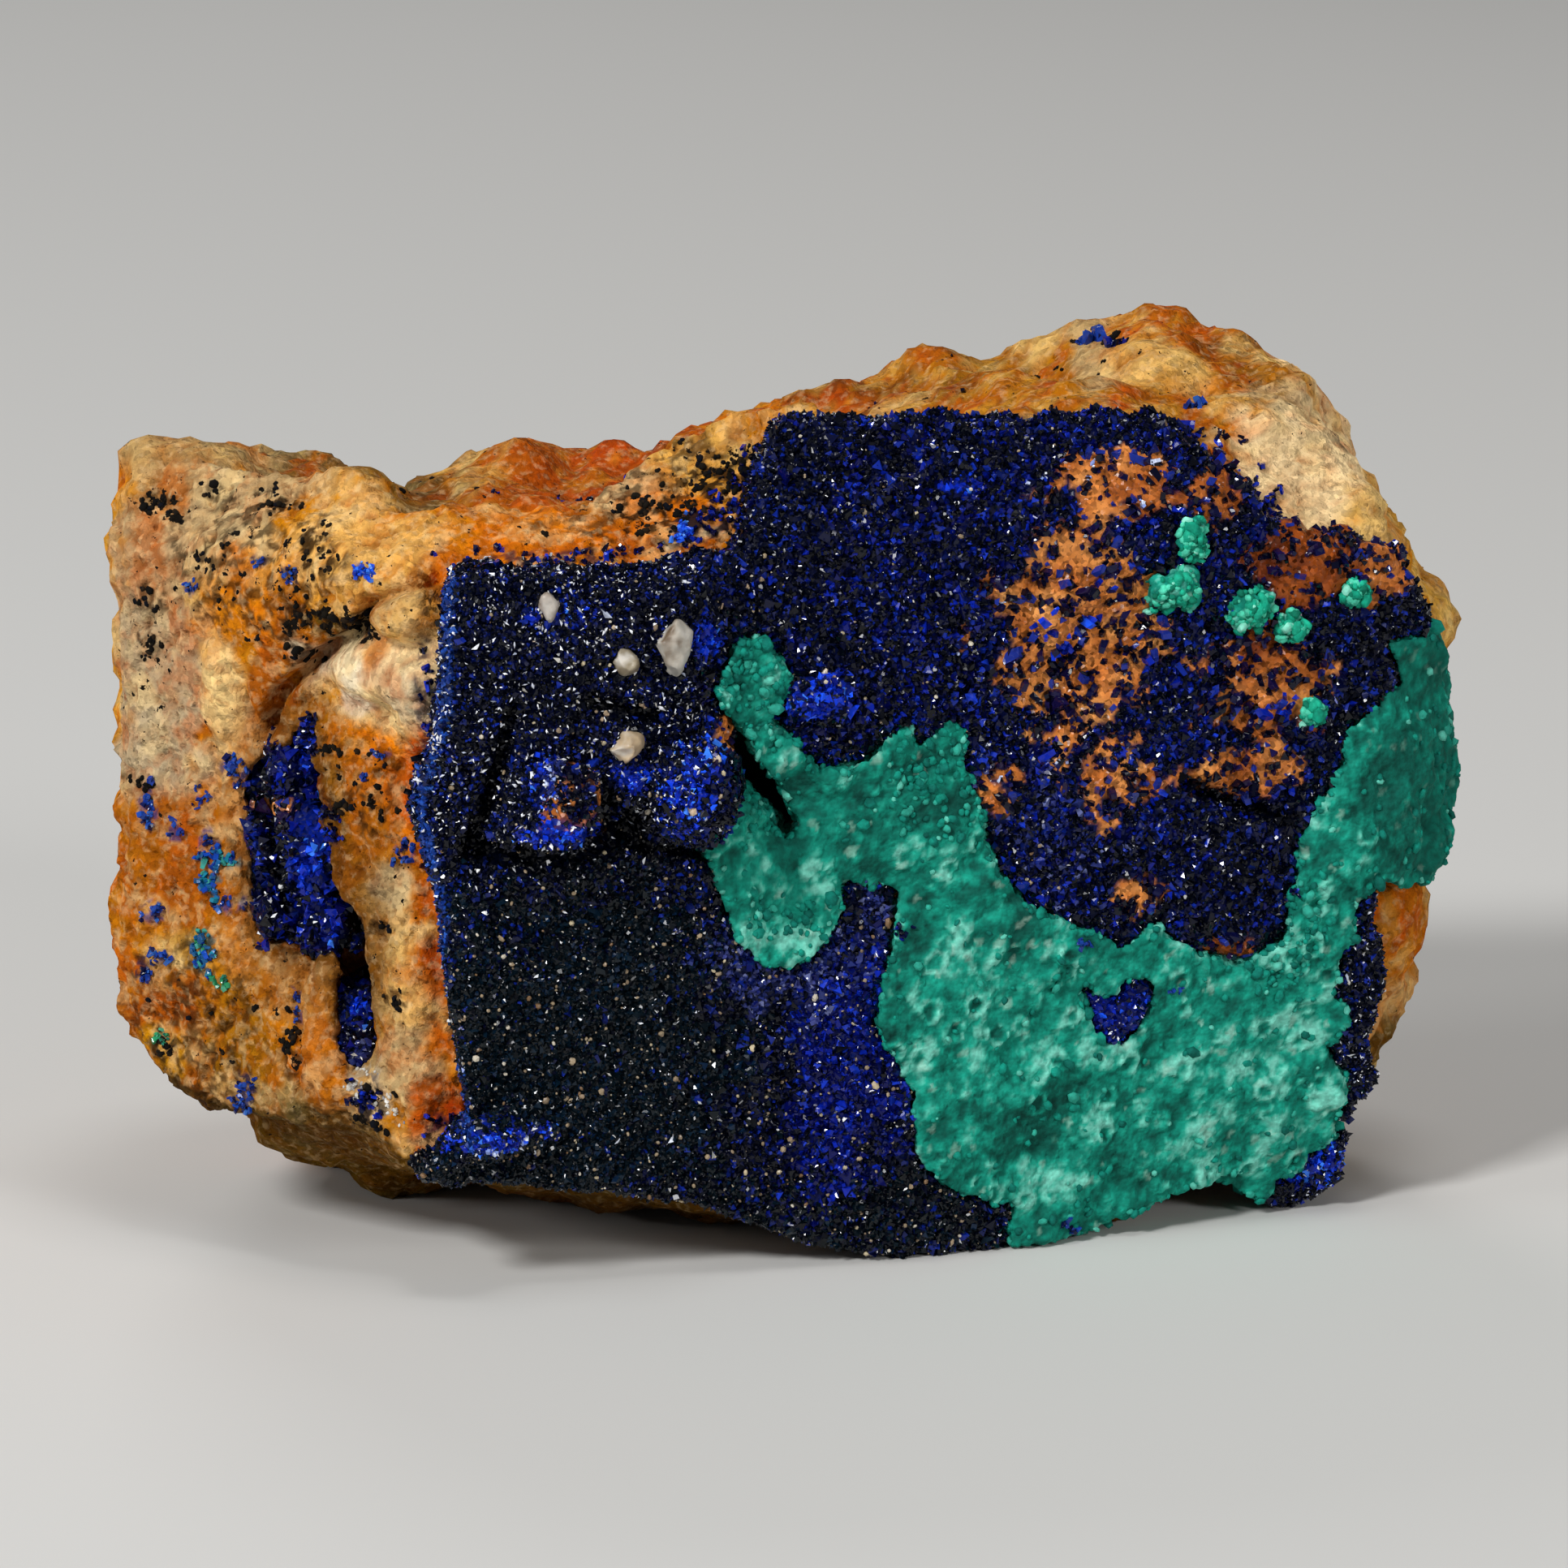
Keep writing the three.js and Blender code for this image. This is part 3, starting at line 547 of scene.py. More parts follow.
# Lumps and flats of the left face: [x, z, half width, half height], how far it stands out
FACE_MASSES = [
    ([-16.5, 30.2, 1.7, 1.4], 0.9),
    ([-17.4, 27.3, 2.8, 1.5], 0.75),
    ([-15.9, 25.2, 1.2, 1.4], 0.5),
    ([-24.8, 25.8, 1.0, 2.7], 0.6),
    ([-16.7, 14.0, 1.3, 4.0], 0.5),
    ([-16.4, 9.4, 1.3, 2.2], 0.5),
    ([-20.4, 9.4, 1.4, 2.6], 0.3),
    ([-24.0, 30.4, 2.6, 2.8], 0.5),
    ([-20.2, 32.2, 2.2, 1.6], 0.4),
    ([-22.2, 22.6, 0.9, 1.4], 0.6),
]

# Where the left face broke smoothly: [x, z, half width, half height]
SMOOTH_BREAKS = [[-24.5, 25.4, 1.8, 3.8], [-16.5, 30.2, 1.7, 1.5], [-17.4, 27.3, 2.8, 1.6]]

# Knobs and dents of the block's rim and its hidden sides: [x, y, z], radius, how far it stands out or goes in
KNOBS = [
    ([-28.9, -1.6, 34.4], 2.2, 0.9),
    ([-28.8, -4.8, 33.4], 1.4, 0.5),
    ([-29.2, -4.8, 29.6], 1.8, 0.4),
    ([-8.8, -9.6, 35.2], 2.0, 0.8),
    ([-11.6, -10.6, 33.8], 1.4, -0.4),
    ([-12.6, 10.4, 32.4], 2.4, 0.8),
    ([-10.4, 12.2, 32.4], 1.2, -0.5),
    ([-8.4, 14.0, 32.6], 2.2, 1.0),
    ([-15.4, 14.0, 32.0], 2.2, 0.5),
    ([-5.4, 12.0, 33.4], 2.0, 0.8),
    ([16.5, 6.0, 38.6], 3.0, 0.5),
    ([-29.4, 4.0, 12.0], 4.5, 0.7),
    ([-12.0, 17.0, 22.0], 6.0, 0.9),
    ([8.0, 18.0, 12.0], 7.0, 0.8),
    ([20.0, 15.0, 28.0], 5.0, 0.8),
    ([29.0, 8.0, 26.0], 4.5, 0.6),
    ([-4.0, 10.0, 36.0], 3.5, 0.5),
]

# Where black specks of manganese oxide crowd: [x, z, half width, half height], share of specks
SPECKLED = [
    ([-23.6, 30.6, 2.6, 2.6], 0.16),
    ([-19.6, 29.3, 2.2, 0.9], 0.62),
    ([-21.6, 30.6, 1.4, 1.8], 0.2),
    ([-27.6, 33.2, 1.2, 0.8], 0.4),
    ([-28.0, 25.6, 1.2, 3.0], 0.2),
    ([-18.4, 21.9, 1.2, 1.2], 0.2),
    ([-18.6, 7.8, 0.9, 0.9], 0.45),
    ([-5.0, 34.0, 4.0, 1.6], 0.22),
    ([-2.6, 35.4, 2.2, 1.0], 0.34),
    ([-22.0, 10.2, 0.5, 0.8], 0.5),
]

# The hollow between the druse and the malachite, and the cleft, both painted dark as shade: [x, z, half
# width, half height]
VUG = [-1.3, 22.3, 2.6, 3.2]
CLEFT = [-20.6, 17.0, 3.6, 9.2]

# Where azurite, malachite and black oxide grew on the bare sandstone: [x, z, half width, half height], how
# many nests of crystals, the crystals' size, and which kind of speck they are
SPECK_GROUPS = [
    ([-21.0, 24.2, 0.25, 1.0], 22, 0.32, "deep"),
    ([-21.5, 22.8, 0.5, 0.8], 16, 0.30, "deep"),
    ([-23.5, 20.8, 0.4, 0.5], 16, 0.34, "deep"),
    ([-23.3, 18.4, 0.3, 1.4], 14, 0.30, "deep"),
    ([-23.2, 15.4, 0.3, 1.4], 14, 0.30, "deep"),
    ([-20.0, 20.2, 0.5, 0.9], 12, 0.28, "deep"),
    ([-1.9, 34.0, 0.7, 1.8], 34, 0.30, "deep"),
    ([-3.0, 33.2, 1.6, 0.8], 14, 0.28, "deep"),
    ([2.0, 36.3, 2.8, 0.35], 34, 0.30, "deep"),
    ([7.0, 36.4, 2.8, 0.35], 34, 0.30, "deep"),
    ([12.6, 36.2, 3.4, 0.4], 30, 0.30, "deep"),
    ([17.6, 35.4, 1.8, 0.6], 20, 0.30, "deep"),
    ([20.6, 33.0, 1.0, 0.9], 18, 0.30, "deep"),
    ([-9.6, 32.3, 4.6, 0.3], 26, 0.26, "deep"),
    ([-15.6, 24.0, 0.3, 6.0], 26, 0.26, "deep"),
    ([-18.8, 9.2, 0.8, 1.4], 18, 0.22, "pale"),
    ([-18.0, 7.9, 0.9, 0.6], 10, 0.2, "pale"),
    ([-24.4, 21.9, 0.6, 0.5], 8, 0.32, "blue"),
    ([-25.9, 20.6, 0.4, 0.4], 4, 0.23, "blue"),
    ([-28.4, 19.8, 0.4, 1.2], 11, 0.27, "blue"),
    ([-27.4, 18.9, 0.4, 0.5], 4, 0.23, "blue"),
    ([-25.8, 18.6, 0.4, 0.5], 4, 0.23, "blue"),
    ([-25.2, 17.8, 1.0, 0.4], 11, 0.30, "teal"),
    ([-25.6, 16.8, 0.5, 0.6], 11, 0.30, "teal"),
    ([-24.7, 16.0, 0.6, 0.4], 5, 0.23, "blue"),
    ([-28.2, 15.2, 0.6, 0.6], 6, 0.25, "blue"),
    ([-25.9, 13.8, 0.6, 0.9], 14, 0.32, "teal"),
    ([-28.0, 13.2, 0.6, 0.35], 7, 0.27, "blue"),
    ([-28.6, 12.4, 0.4, 0.4], 6, 0.27, "blue"),
    ([-25.0, 12.6, 0.3, 0.4], 6, 0.26, "green"),
    ([-27.9, 9.4, 0.35, 0.35], 4, 0.26, "green"),
    ([-26.1, 14.2, 0.3, 0.3], 4, 0.26, "green"),
    ([-24.2, 7.6, 0.35, 0.8], 8, 0.27, "blue"),
    ([-24.6, 6.9, 0.4, 0.3], 3, 0.23, "blue"),
    ([-21.8, 11.9, 0.2, 0.8], 4, 0.22, "blue"),
    ([-17.9, 23.6, 0.5, 0.2], 4, 0.20, "blue"),
    ([-18.4, 22.8, 0.3, 0.3], 2, 0.20, "blue"),
    ([-16.6, 19.4, 0.5, 0.4], 7, 0.25, "blue"),
    ([-18.2, 31.7, 0.35, 0.35], 13, 0.22, "bright"),
    ([-4.8, 32.8, 0.4, 0.4], 13, 0.22, "bright"),
    ([-3.2, 33.0, 1.6, 0.8], 16, 0.26, "deep"),
    ([-14.8, 7.2, 1.0, 0.7], 12, 0.25, "deep"),
    ([-21.5, 31.4, 0.4, 0.5], 4, 0.22, "blue"),
    ([-22.8, 31.6, 0.35, 0.3], 4, 0.22, "blue"),
    ([-26.0, 30.0, 0.4, 0.4], 4, 0.23, "blue"),
    ([-18.6, 8.4, 0.7, 1.0], 14, 0.26, "deep"),
    ([-25.4, 31.3, 0.7, 0.5], 7, 0.26, "black"),
    ([-25.2, 33.9, 0.8, 0.35], 7, 0.26, "black"),
    ([-22.5, 33.8, 1.2, 0.5], 10, 0.26, "black"),
    ([-20.5, 32.1, 0.9, 0.8], 9, 0.26, "black"),
    ([-22.8, 31.0, 4.1, 3.2], 34, 0.23, "black"),
    ([-20.5, 29.5, 1.2, 0.7], 9, 0.28, "black"),
    ([-19.1, 29.4, 1.2, 0.7], 15, 0.34, "black"),
    ([-21.3, 27.6, 0.7, 0.7], 8, 0.29, "black"),
    ([-27.7, 33.3, 0.8, 0.5], 12, 0.27, "black"),
    ([-28.2, 29.2, 0.7, 0.8], 7, 0.26, "black"),
    ([-28.3, 27.2, 0.5, 0.8], 7, 0.26, "black"),
    ([-28.6, 20.9, 0.7, 0.3], 7, 0.29, "black"),
    ([-19.9, 23.6, 0.5, 0.4], 6, 0.35, "black"),
    ([-19.4, 21.1, 0.7, 0.3], 8, 0.31, "black"),
    ([-18.2, 22.0, 1.6, 1.6], 14, 0.26, "black"),
    ([-18.6, 15.9, 1.4, 0.3], 7, 0.31, "black"),
    ([-17.2, 12.9, 0.7, 0.5], 7, 0.26, "black"),
    ([-18.4, 7.9, 1.2, 1.1], 7, 0.31, "black"),
    ([-6.4, 33.6, 1.4, 0.7], 15, 0.31, "black"),
    ([-2.8, 34.6, 1.8, 1.1], 22, 0.35, "black"),
    ([-4.4, 34.2, 5.9, 2.0], 34, 0.24, "black"),
    ([-22.1, 10.2, 0.4, 1.2], 10, 0.31, "black"),
    ([-28.0, 8.9, 0.5, 0.7], 7, 0.29, "black"),
    ([-26.4, 10.4, 3.0, 3.5], 7, 0.24, "black"),
]

# The same on the top of the ridge, which the front shows over its lip: [x, y, half width, half depth]
RIDGE_SPECKS = [
    ([18.1, 1.8, 0.5, 0.4], 8, 0.34, "blue"),
    ([13.4, 10.2, 0.4, 0.4], 5, 0.4, "blue"),
    ([14.8, 8.3, 0.4, 0.4], 6, 0.34, "deep"),
    ([14.6, 9.4, 0.4, 0.5], 6, 0.34, "black"),
    ([1.4, 9.0, 0.4, 0.4], 5, 0.34, "blue"),
    ([-12.4, -2.0, 0.5, 0.5], 6, 0.3, "blue"),
    ([-4.0, 6.0, 9.0, 6.0], 22, 0.26, "deep"),
    ([10.0, 8.0, 7.0, 5.0], 22, 0.26, "black"),
    ([-19.0, 4.0, 7.0, 8.0], 22, 0.26, "black"),
]

# The colours of each kind of speck, to pick from, the first ones more often
SPECK_PALETTES = {
    "blue": ["16348a", "1c449e", "0e184c", "2c5aa6", "0a1038"],
    "deep": ["080c34", "0c1c84", "05061a", "1230b8"],
    "bright": ["1c50d8", "3a7cf0", "1434a0", "6aa4f4"],
    "teal": ["1a5a90", "1c7a94", "1440a0", "3a9488"],
    "green": ["2c8a5c", "4a9a78", "1c6a58"],
    "black": ["0c0a08", "16120c", "0a0c14", "241a10"],
    "pale": ["d8d2c6", "b4b0ac", "8c8c94", "ece8e0"],
    "sand": ["c8ae90", "b09478", "d8c8b0"],
    # Pale crystals whose own colour is painted highlight, in place of bright crystal faces
    "painted_glint": ["c8d4f4", "8ca4e8", "f0f4fc"],
}

# The stain that each kind leaves on the sandstone round it
SPECK_STAINS = {
    "blue": "1c3a86",
    "deep": "101840",
    "bright": "2a5ac0",
    "teal": "2c6c80",
    "green": "4a8c66",
    "black": "2a1c10",
    "pale": "b8b0a4",
}

# The kinds that are copper minerals
COLOURED = {"blue", "deep", "bright", "teal", "green"}

# How far out each speck starts its way to the surface
DROP_FROM = 60
# How many specks make a nest, and how far they lie from its middle, as a share of their size
NEST = 3
NEST_SPREAD = 0.34
BLACK_NEST_SPREAD = 0.22

# Azurite on the malachite, laid in the same way
MALACHITE_SPECKS = [
    ([12.6, 14.0, 0.4, 0.3], 3, 0.3, "blue"),
    ([12.4, 0.8, 0.4, 0.3], 3, 0.34, "blue"),
    ([16.8, 11.6, 0.4, 0.3], 2, 0.26, "blue"),
    ([4.6, 15.0, 0.4, 0.6], 4, 0.28, "deep"),
    ([22.2, 15.6, 0.4, 0.6], 3, 0.28, "deep"),
    ([8.6, 19.6, 0.6, 0.8], 5, 0.3, "deep"),
]

# Grains of sand, and pale crystals painted as highlights in place of crystals with a bright face, on the
# azurite
DRUSE_SPECKS = [
    ([-4.5, 22.0, 0.1, 0.2], 1, 0.5, "sand"),
    ([-3.3, 24.0, 0.1, 0.2], 1, 0.42, "sand"),
    ([1.5, 26.6, 0.3, 0.4], 2, 0.3, "sand"),
    ([-3.0, 30.2, 0.1, 0.1], 1, 0.3, "sand"),
    ([-1.6, 31.0, 0.7, 0.3], 3, 0.26, "sand"),
    ([-6.3, 26.2, 0.1, 0.1], 1, 0.26, "sand"),
    ([-8.1, 25.7, 0.1, 0.1], 1, 0.32, "sand"),
    ([-7.7, 29.5, 0.1, 0.1], 1, 0.28, "sand"),
    ([-10.4, 23.2, 0.2, 1.2], 7, 0.18, "painted_glint"),
    ([-10.6, 29.8, 0.3, 0.8], 3, 0.24, "sand"),
    ([10.4, 34.8, 0.5, 0.5], 2, 0.22, "painted_glint"),
    ([13.0, 34.8, 0.5, 0.5], 2, 0.24, "painted_glint"),
    ([15.0, 33.4, 0.5, 0.5], 2, 0.22, "painted_glint"),
    ([16.1, 35.2, 0.2, 0.2], 1, 0.26, "painted_glint"),
    ([9.0, 24.0, 4.0, 6.0], 14, 0.16, "painted_glint"),
    ([-12.6, 7.0, 1.8, 0.4], 7, 0.2, "painted_glint"),
    ([-22.0, 22.0, 1.4, 0.8], 6, 0.16, "painted_glint"),
    ([-21.0, 16.4, 1.2, 0.8], 6, 0.18, "painted_glint"),
]

# How much of each primary colour the iron in the stone leaves to it
WARMTH = (0.94, 0.82, 0.62)


def paint_sandstone(piece, points, facing, detail):
    """The stains of the sandstone and its share of specks, from the broad ones to the small ones. `detail` is
    the height of its fine relief: the stone is made darker in its hollows and paler on its high grains."""
    broad = 0.5 + 0.7 * wave(points, 11, 4)
    colours = ramp(broad, [(0, "87531a"), (0.3, "b06c20"), (0.5, "bf8436"), (0.7, "c79850"), (1, "d0b27c")])
    ragged = 0.5 * wave(points, 1.5, 4, 5.1)
    is_front = front_share(points, facing, -0.35, 0.1)
    for area, colour, strength in FACE_STAINS:
        colours = tint(colours, colour, strength * is_front * within(points, area, ragged))
    for area, colour, strength in RIDGE_STAINS:
        colours = tint(colours, colour, strength * (1 - is_front) * within(points, area, ragged))
    for line, half_width, colour, strength in EDGE_STAINS:
        weight = along(points, line, half_width * EDGE_FADE) * smooth(ragged, -0.35, 0.2)
        colours = tint(colours, colour, strength * is_front * weight)
    hidden = (1 - is_front) * smooth(points[:, 1], -2, 4)
    _, patch_seam, patch = grains(points + 0.7 * wave(points, 1.3)[:, None], 2.0, 5.7)
    inner = smooth(patch_seam, 0, 0.3)
    _, _, nest = grains(points + 0.5 * wave(points, 0.6)[:, None], 0.55, 1.9)
    paler = 0.18 + 0.12 * is_front
    behind = behind_left_face(points)
    # Where the cleft lies recessed behind the left face, for its painted shade
    in_cleft = within(points, CLEFT) * smooth(behind, 0.7, 1.6) * (1 - smooth(behind, 5, 6))
    bands = smooth(0.07 - np.abs(wave(points, 8, 3, 2.7)), 0, 0.06)
    # Painted shade on the underside of the left end, where it faces down
    under = smooth(-facing[:, 2], 0.1, 0.4) * smooth(-points[:, 2], -8.8, -7.4)
    under *= 1 - smooth(points[:, 1], 4, 9)
    colours = tint_in_turn(colours, [
        # Where the photograph doesn't reach: films of dark oxide, and cream beds that the iron has left
        ("3a2814", 0.5 * hidden * smooth(wave(points, 7, 5, 12.3), 0.18, 0.34)),
        ("e0cda4", 0.6 * hidden * smooth(wave(points, 9, 5, 21.7), 0.14, 0.34)),
        # Patches of a millimetre or two that took up more iron than their neighbours, or less
        ("bc6014", 0.4 * inner * smooth(patch, 0.7, 0.8)),
        ("ecd8ac", 0.35 * inner * smooth(-patch, -0.28, -0.18)),
        # Single grains and small nests of grains that took up more iron, or none, and the fine relief darker
        # in its hollows and paler on its high grains
        ("a8560f", 0.3 * smooth(nest, 0.78, 0.9)),
        ("e6d6b4", paler * smooth(-nest, -0.24, -0.14)),
        ("7a4410", 0.6 * smooth(-detail, 0.06, 0.26)),
        ("ecd9b0", paler * smooth(detail, 0.06, 0.2)),
        # The hollows, painted with shade: the cleft's walls a rusty black, and the vug a dark green
        ("3c1e0c", 0.8 * in_cleft),
        ("06241a", within(points, VUG, 0, 0.1) * (1 - smooth(points[:, 1], -5, -3))),
        # Bands of rust, and painted shade, a dark olive, under the overhang of the left end
        ("8a4212", 0.35 * bands),
        ("342e12", 0.84 * under),
    ])
    blots = smooth(wave(points, 0.5, 3, 4.9), -0.05, 0.1)
    for patch, _, _, palette in SPECK_GROUPS:
        weight = 0.75 * blots * is_front * within(points, patch, ragged, 0.2)
        colours = tint(colours, SPECK_STAINS[palette], weight)
    share = np.full(len(points), 0.03)
    for patch, wanted in SPECKLED:
        share = np.maximum(share, wanted * is_front * within(points, patch, ragged))
    more = 0.15 + 0.3 * (1 - is_front)
    colour_points(piece, "stain", deepen(colours, more[:, None]) * WARMTH)
    number_points(piece, "speckle", share)


def make_sandstone():
    """The block: terraces and sugary grain over its broken shape, with more detail where the front shows."""
    piece = even_copy("sandstone_matrix", "sandstone_block", ROCK_SQUARE, 9)
    form = bmesh.new()
    form.from_mesh(piece.data)
    middles = [(f, f.calc_center_median()) for f in form.faces]
    shown = [
        f for f, middle in middles
        if f.normal.y < 0.2 and middle.y < -4 and (middle.x < -12.5 or middle.z > 32)
    ]
    edges = list({edge for face in shown for edge in face.edges})
    bmesh.ops.subdivide_edges(form, edges=edges, cuts=2, use_grid_fill=True)
    form.to_mesh(piece.data)
    form.free()
    points = points_of(piece)
    facing = facing_of(piece)
    steps = 3.2 * wave(points, 5.5, 3)
    terraces = (np.floor(steps) + smooth(np.modf(steps - np.floor(steps))[0], 0.25, 0.85)) / 3.2
    bent = points + 0.15 * wave(points, 0.7, 2)[:, None]
    _, seam, own = grains(bent, 0.7)
    _, fine_seam, fine_own = grains(bent, 0.38, 4.4)
    pits = smooth(wave(points, 0.9, 3, 7.2), 0.28, 0.4)
    detail = 0.07 * wave(points, 0.9, 3, 3.3) - 0.16 * pits
    detail += 0.11 * (own - 0.5) * smooth(seam, 0, 0.2) + 0.11 * (fine_own - 0.5) * smooth(fine_seam, 0, 0.2)
    is_front = front_share(points, facing, 0, 0.3)
    ragged = 0.16 * wave(points, 1.4, 3, 2.1)
    calm = is_front * np.max([within(points, patch, ragged) for patch in SMOOTH_BREAKS], axis=0)
    detail *= 1 - 0.7 * calm
    heights = (1.35 - is_front) * (1 - calm) * terraces + 0.22 * wave(points, 2.6, 3, 6.6) + detail
    for patch, out in FACE_MASSES:
        heights += out * is_front * dome(points, patch, ragged, 0.8)
    for place, radius, out in KNOBS:
        heights += out * (1 - smooth(np.linalg.norm(points - place, axis=1), 0, radius))
    for line, half_width, depth in CRACKS:
        heights -= depth * is_front * along(points, line, half_width)
    paint_sandstone(piece, points, facing, detail)
    reshape(piece, heights)
    return piece


# The druse's zones: [x, z, half width, half height], how strong. Rust shows between sparse crystals.
RUST_ZONES = [
    ([12.2, 28.0, 3.5, 4.8], 1.0),
    ([20.8, 25.0, 2.7, 3.0], 1.1),
    ([19.6, 21.2, 2.8, 1.0], 1.1),
    ([22.6, 30.2, 2.8, 1.7], 1.0),
    ([15.2, 15.8, 1.2, 0.8], 1.0),
    ([19.5, 12.9, 1.3, 0.8], 1.1),
    ([9.3, 21.2, 1.0, 1.0], 0.9),
    ([14.4, 34.3, 2.6, 1.5], 1.0),
    ([18.5, 33.5, 1.6, 1.5], 0.8),
    ([26.0, 29.6, 1.2, 1.3], 1.0),
    ([14.2, 21.4, 2.0, 2.2], 0.6),
    ([-9.4, 22.5, 1.5, 1.3], 0.43),
    ([-22.4, 20.3, 0.9, 0.8], 0.95),
    ([-3.0, 24.6, 0.5, 1.0], 0.8),
]
DARK_RUST_ZONES = [
    ([21.5, 29.8, 4.4, 3.4], 1.0),
    ([17.5, 33.4, 3.0, 1.8], 0.8),
    ([20.6, 24.0, 3.4, 4.4], 0.5),
    ([19.5, 12.9, 1.6, 1.2], 0.9),
]
VIVID_ZONES = [
    ([-10.2, 21.1, 1.6, 0.6], 0.85),
    ([-10.6, 23.2, 0.6, 1.3], 0.4),
    ([-7.0, 23.2, 1.0, 0.5], 0.85),
    ([-4.6, 22.6, 1.2, 1.5], 0.6),
    ([-3.5, 24.4, 0.6, 1.0], 0.5),
    ([1.2, 25.8, 1.3, 0.9], 0.7),
    ([-3.8, 28.6, 0.6, 0.8], 0.7),
    ([-9.6, 30.4, 1.2, 0.7], 0.5),
    ([11.4, 28.0, 0.8, 1.0], 0.9),
    ([12.6, 28.8, 0.5, 0.5], 0.9),
    ([21.8, 23.8, 0.9, 0.6], 0.8),
    ([7.4, 34.6, 0.8, 0.6], 0.7),
    ([-12.8, 7.2, 2.2, 0.6], 0.7),
    ([-20.9, 18.7, 0.9, 1.7], 0.9),
    ([-20.6, 20.8, 0.6, 0.6], 0.5),
    ([-21.1, 23.4, 0.4, 1.3], 0.8),
    ([-19.8, 14.8, 0.6, 0.8], 0.7),
    ([-18.9, 11.6, 0.6, 0.7], 0.9),
    ([14.4, 10.8, 1.6, 1.5], 0.2),
    ([23.2, 2.4, 1.6, 1.2], 0.7),
]
ROYAL_ZONES = [
    ([12.0, 27.0, 12.0, 12.0], 0.3),
    ([2.6, 9.8, 2.9, 5.2], 0.85),
    ([1.0, 4.5, 2.0, 2.4], 0.4),
    ([5.0, 32.5, 4.0, 3.6], 0.3),
    ([-21.0, 17.0, 2.8, 9.0], 0.45),
    ([14.2, 11.2, 2.0, 2.0], 0.9),
]
LILAC_ZONES = [
    ([-10.3, 23.4, 0.5, 1.2], 0.8),
    ([-0.4, 14.2, 3.4, 2.2], 0.7),
    ([4.0, 15.6, 1.4, 1.6], 0.5),
    ([8.4, 20.4, 1.2, 1.6], 0.5),
    ([12.5, 19.0, 3.0, 3.0], 0.25),
    ([-18.6, 9.4, 0.9, 1.0], 0.9),
]
# The line of the left edge, where the crystals are paler: [x, z] points
PALE_EDGE = [[-14.4, 31.8], [-14.7, 26], [-16.0, 22], [-15.0, 18], [-15.0, 12], [-13.8, 7]]
# Where the crystals are so dark that a green shows in them
GREENISH_ZONES = [([-9.5, 10.5, 7.5, 8.0], 0.9), ([2.0, 2.0, 9.0, 2.6], 0.5)]

# Lumps of the druse: [x, z, half width, half height], how far it stands out
DRUSE_MASSES = [
    ([-10.1, 22.1, 1.8, 2.0], 1.0),
    ([-4.3, 22.4, 1.6, 2.0], 0.9),
    ([-7.0, 23.2, 1.4, 0.9], 0.4),
    ([1.2, 25.8, 1.6, 1.1], 0.25),
    ([11.4, 28.0, 0.9, 0.9], 0.4),
    ([-12.6, 7.2, 2.4, 0.7], 0.6),
    ([-20.8, 18.6, 1.0, 2.6], 0.6),
    ([-20.0, 14.4, 1.2, 1.6], 0.4),
]

# Crevices between its lumps, which are also painted dark as shade: [x, z] points, half width, depth
CREVICES = [
    ([[-11.9, 26.2], [-12.5, 24.2], [-13.0, 22.0], [-14.0, 20.0]], 0.6, 0.8),
    ([[-13.4, 19.9], [-10.0, 19.6], [-7.4, 20.4]], 1.1, 1.4),
    ([[-7.9, 22.4], [-8.2, 20.6]], 0.8, 0.9),
    ([[-7.0, 21.6], [-6.4, 19.8], [-4.2, 19.4]], 0.7, 0.8),
    ([[-8.6, 26.4], [-6.0, 25.6]], 0.7, 0.7),
    ([[17.4, 20.7], [19.6, 19.6], [21.6, 18.9]], 0.5, 0.9),
    ([[-22.9, 22.4], [-22.6, 19.0], [-22.2, 16.0]], 0.4, 0.5),
    ([[-19.5, 18.6], [-18.9, 16.2], [-19.6, 14.4]], 0.5, 0.5),
]

# How much of the crystals is missing on the rust and in the crevices
RUST_BARE = 0.94
CREVICE_BARE = 0.85

# The smaller druses: node, name, how many crystals (their seed too), crystal size, growth leftwards
SMALL_DRUSES = [
    ("azurite_strip", "azurite_strip_crust", 2600, 0.28, 0),
    ("azurite_vein", "vein_crust", 1150, 0.38, 0.5),
    ("azurite_cluster", "cluster_crust", 320, 0.28, 0.2),
    ("azurite_window", "window_crust", 260, 0.26, 0),
]

# What each zone's crystals look like: hex colours to pick from, the first ones more often
PALETTES = {
    "open": ["03050f", "04071a", "060b2c", "091650", "102686"],
    "edge": ["14307a", "1c4296", "0a1a50", "2a58b4", "0a1238"],
    "rust": ["05061a", "0a0c34", "140f3c", "1c2c84", "1c1034"],
    "vivid": ["0a2298", "1038d0", "0a1670", "2058f8", "3a7cf4"],
    "royal": ["040a4c", "061678", "0a229c", "030730", "1634b4"],
    "lilac": ["26306c", "0c1450", "3c4484", "5c6494", "141c5c"],
    # Near-black crystals in the crevices, as painted shade
    "shaded_crevice": ["020308", "03050e", "04081a"],
    "greenish": ["040c12", "06121a", "081a28", "050f16", "0c2038"],
}
# The near-white colours of the painted glints, which stand in for highlights on crystal faces
GLINT_COLOURS = ["f4f6fc", "dce0ec", "b4bcd0", "c8c4bc"]
SAND_COLOURS = ["a08c70", "8c7860", "c0b090", "7a5c3c", "d8ccb8"]


def zone_share(points, zones, ragged):
    share = np.zeros(len(points))
    for patch, strength in zones:
        share = np.maximum(share, strength * within(points, patch, ragged))
    return share


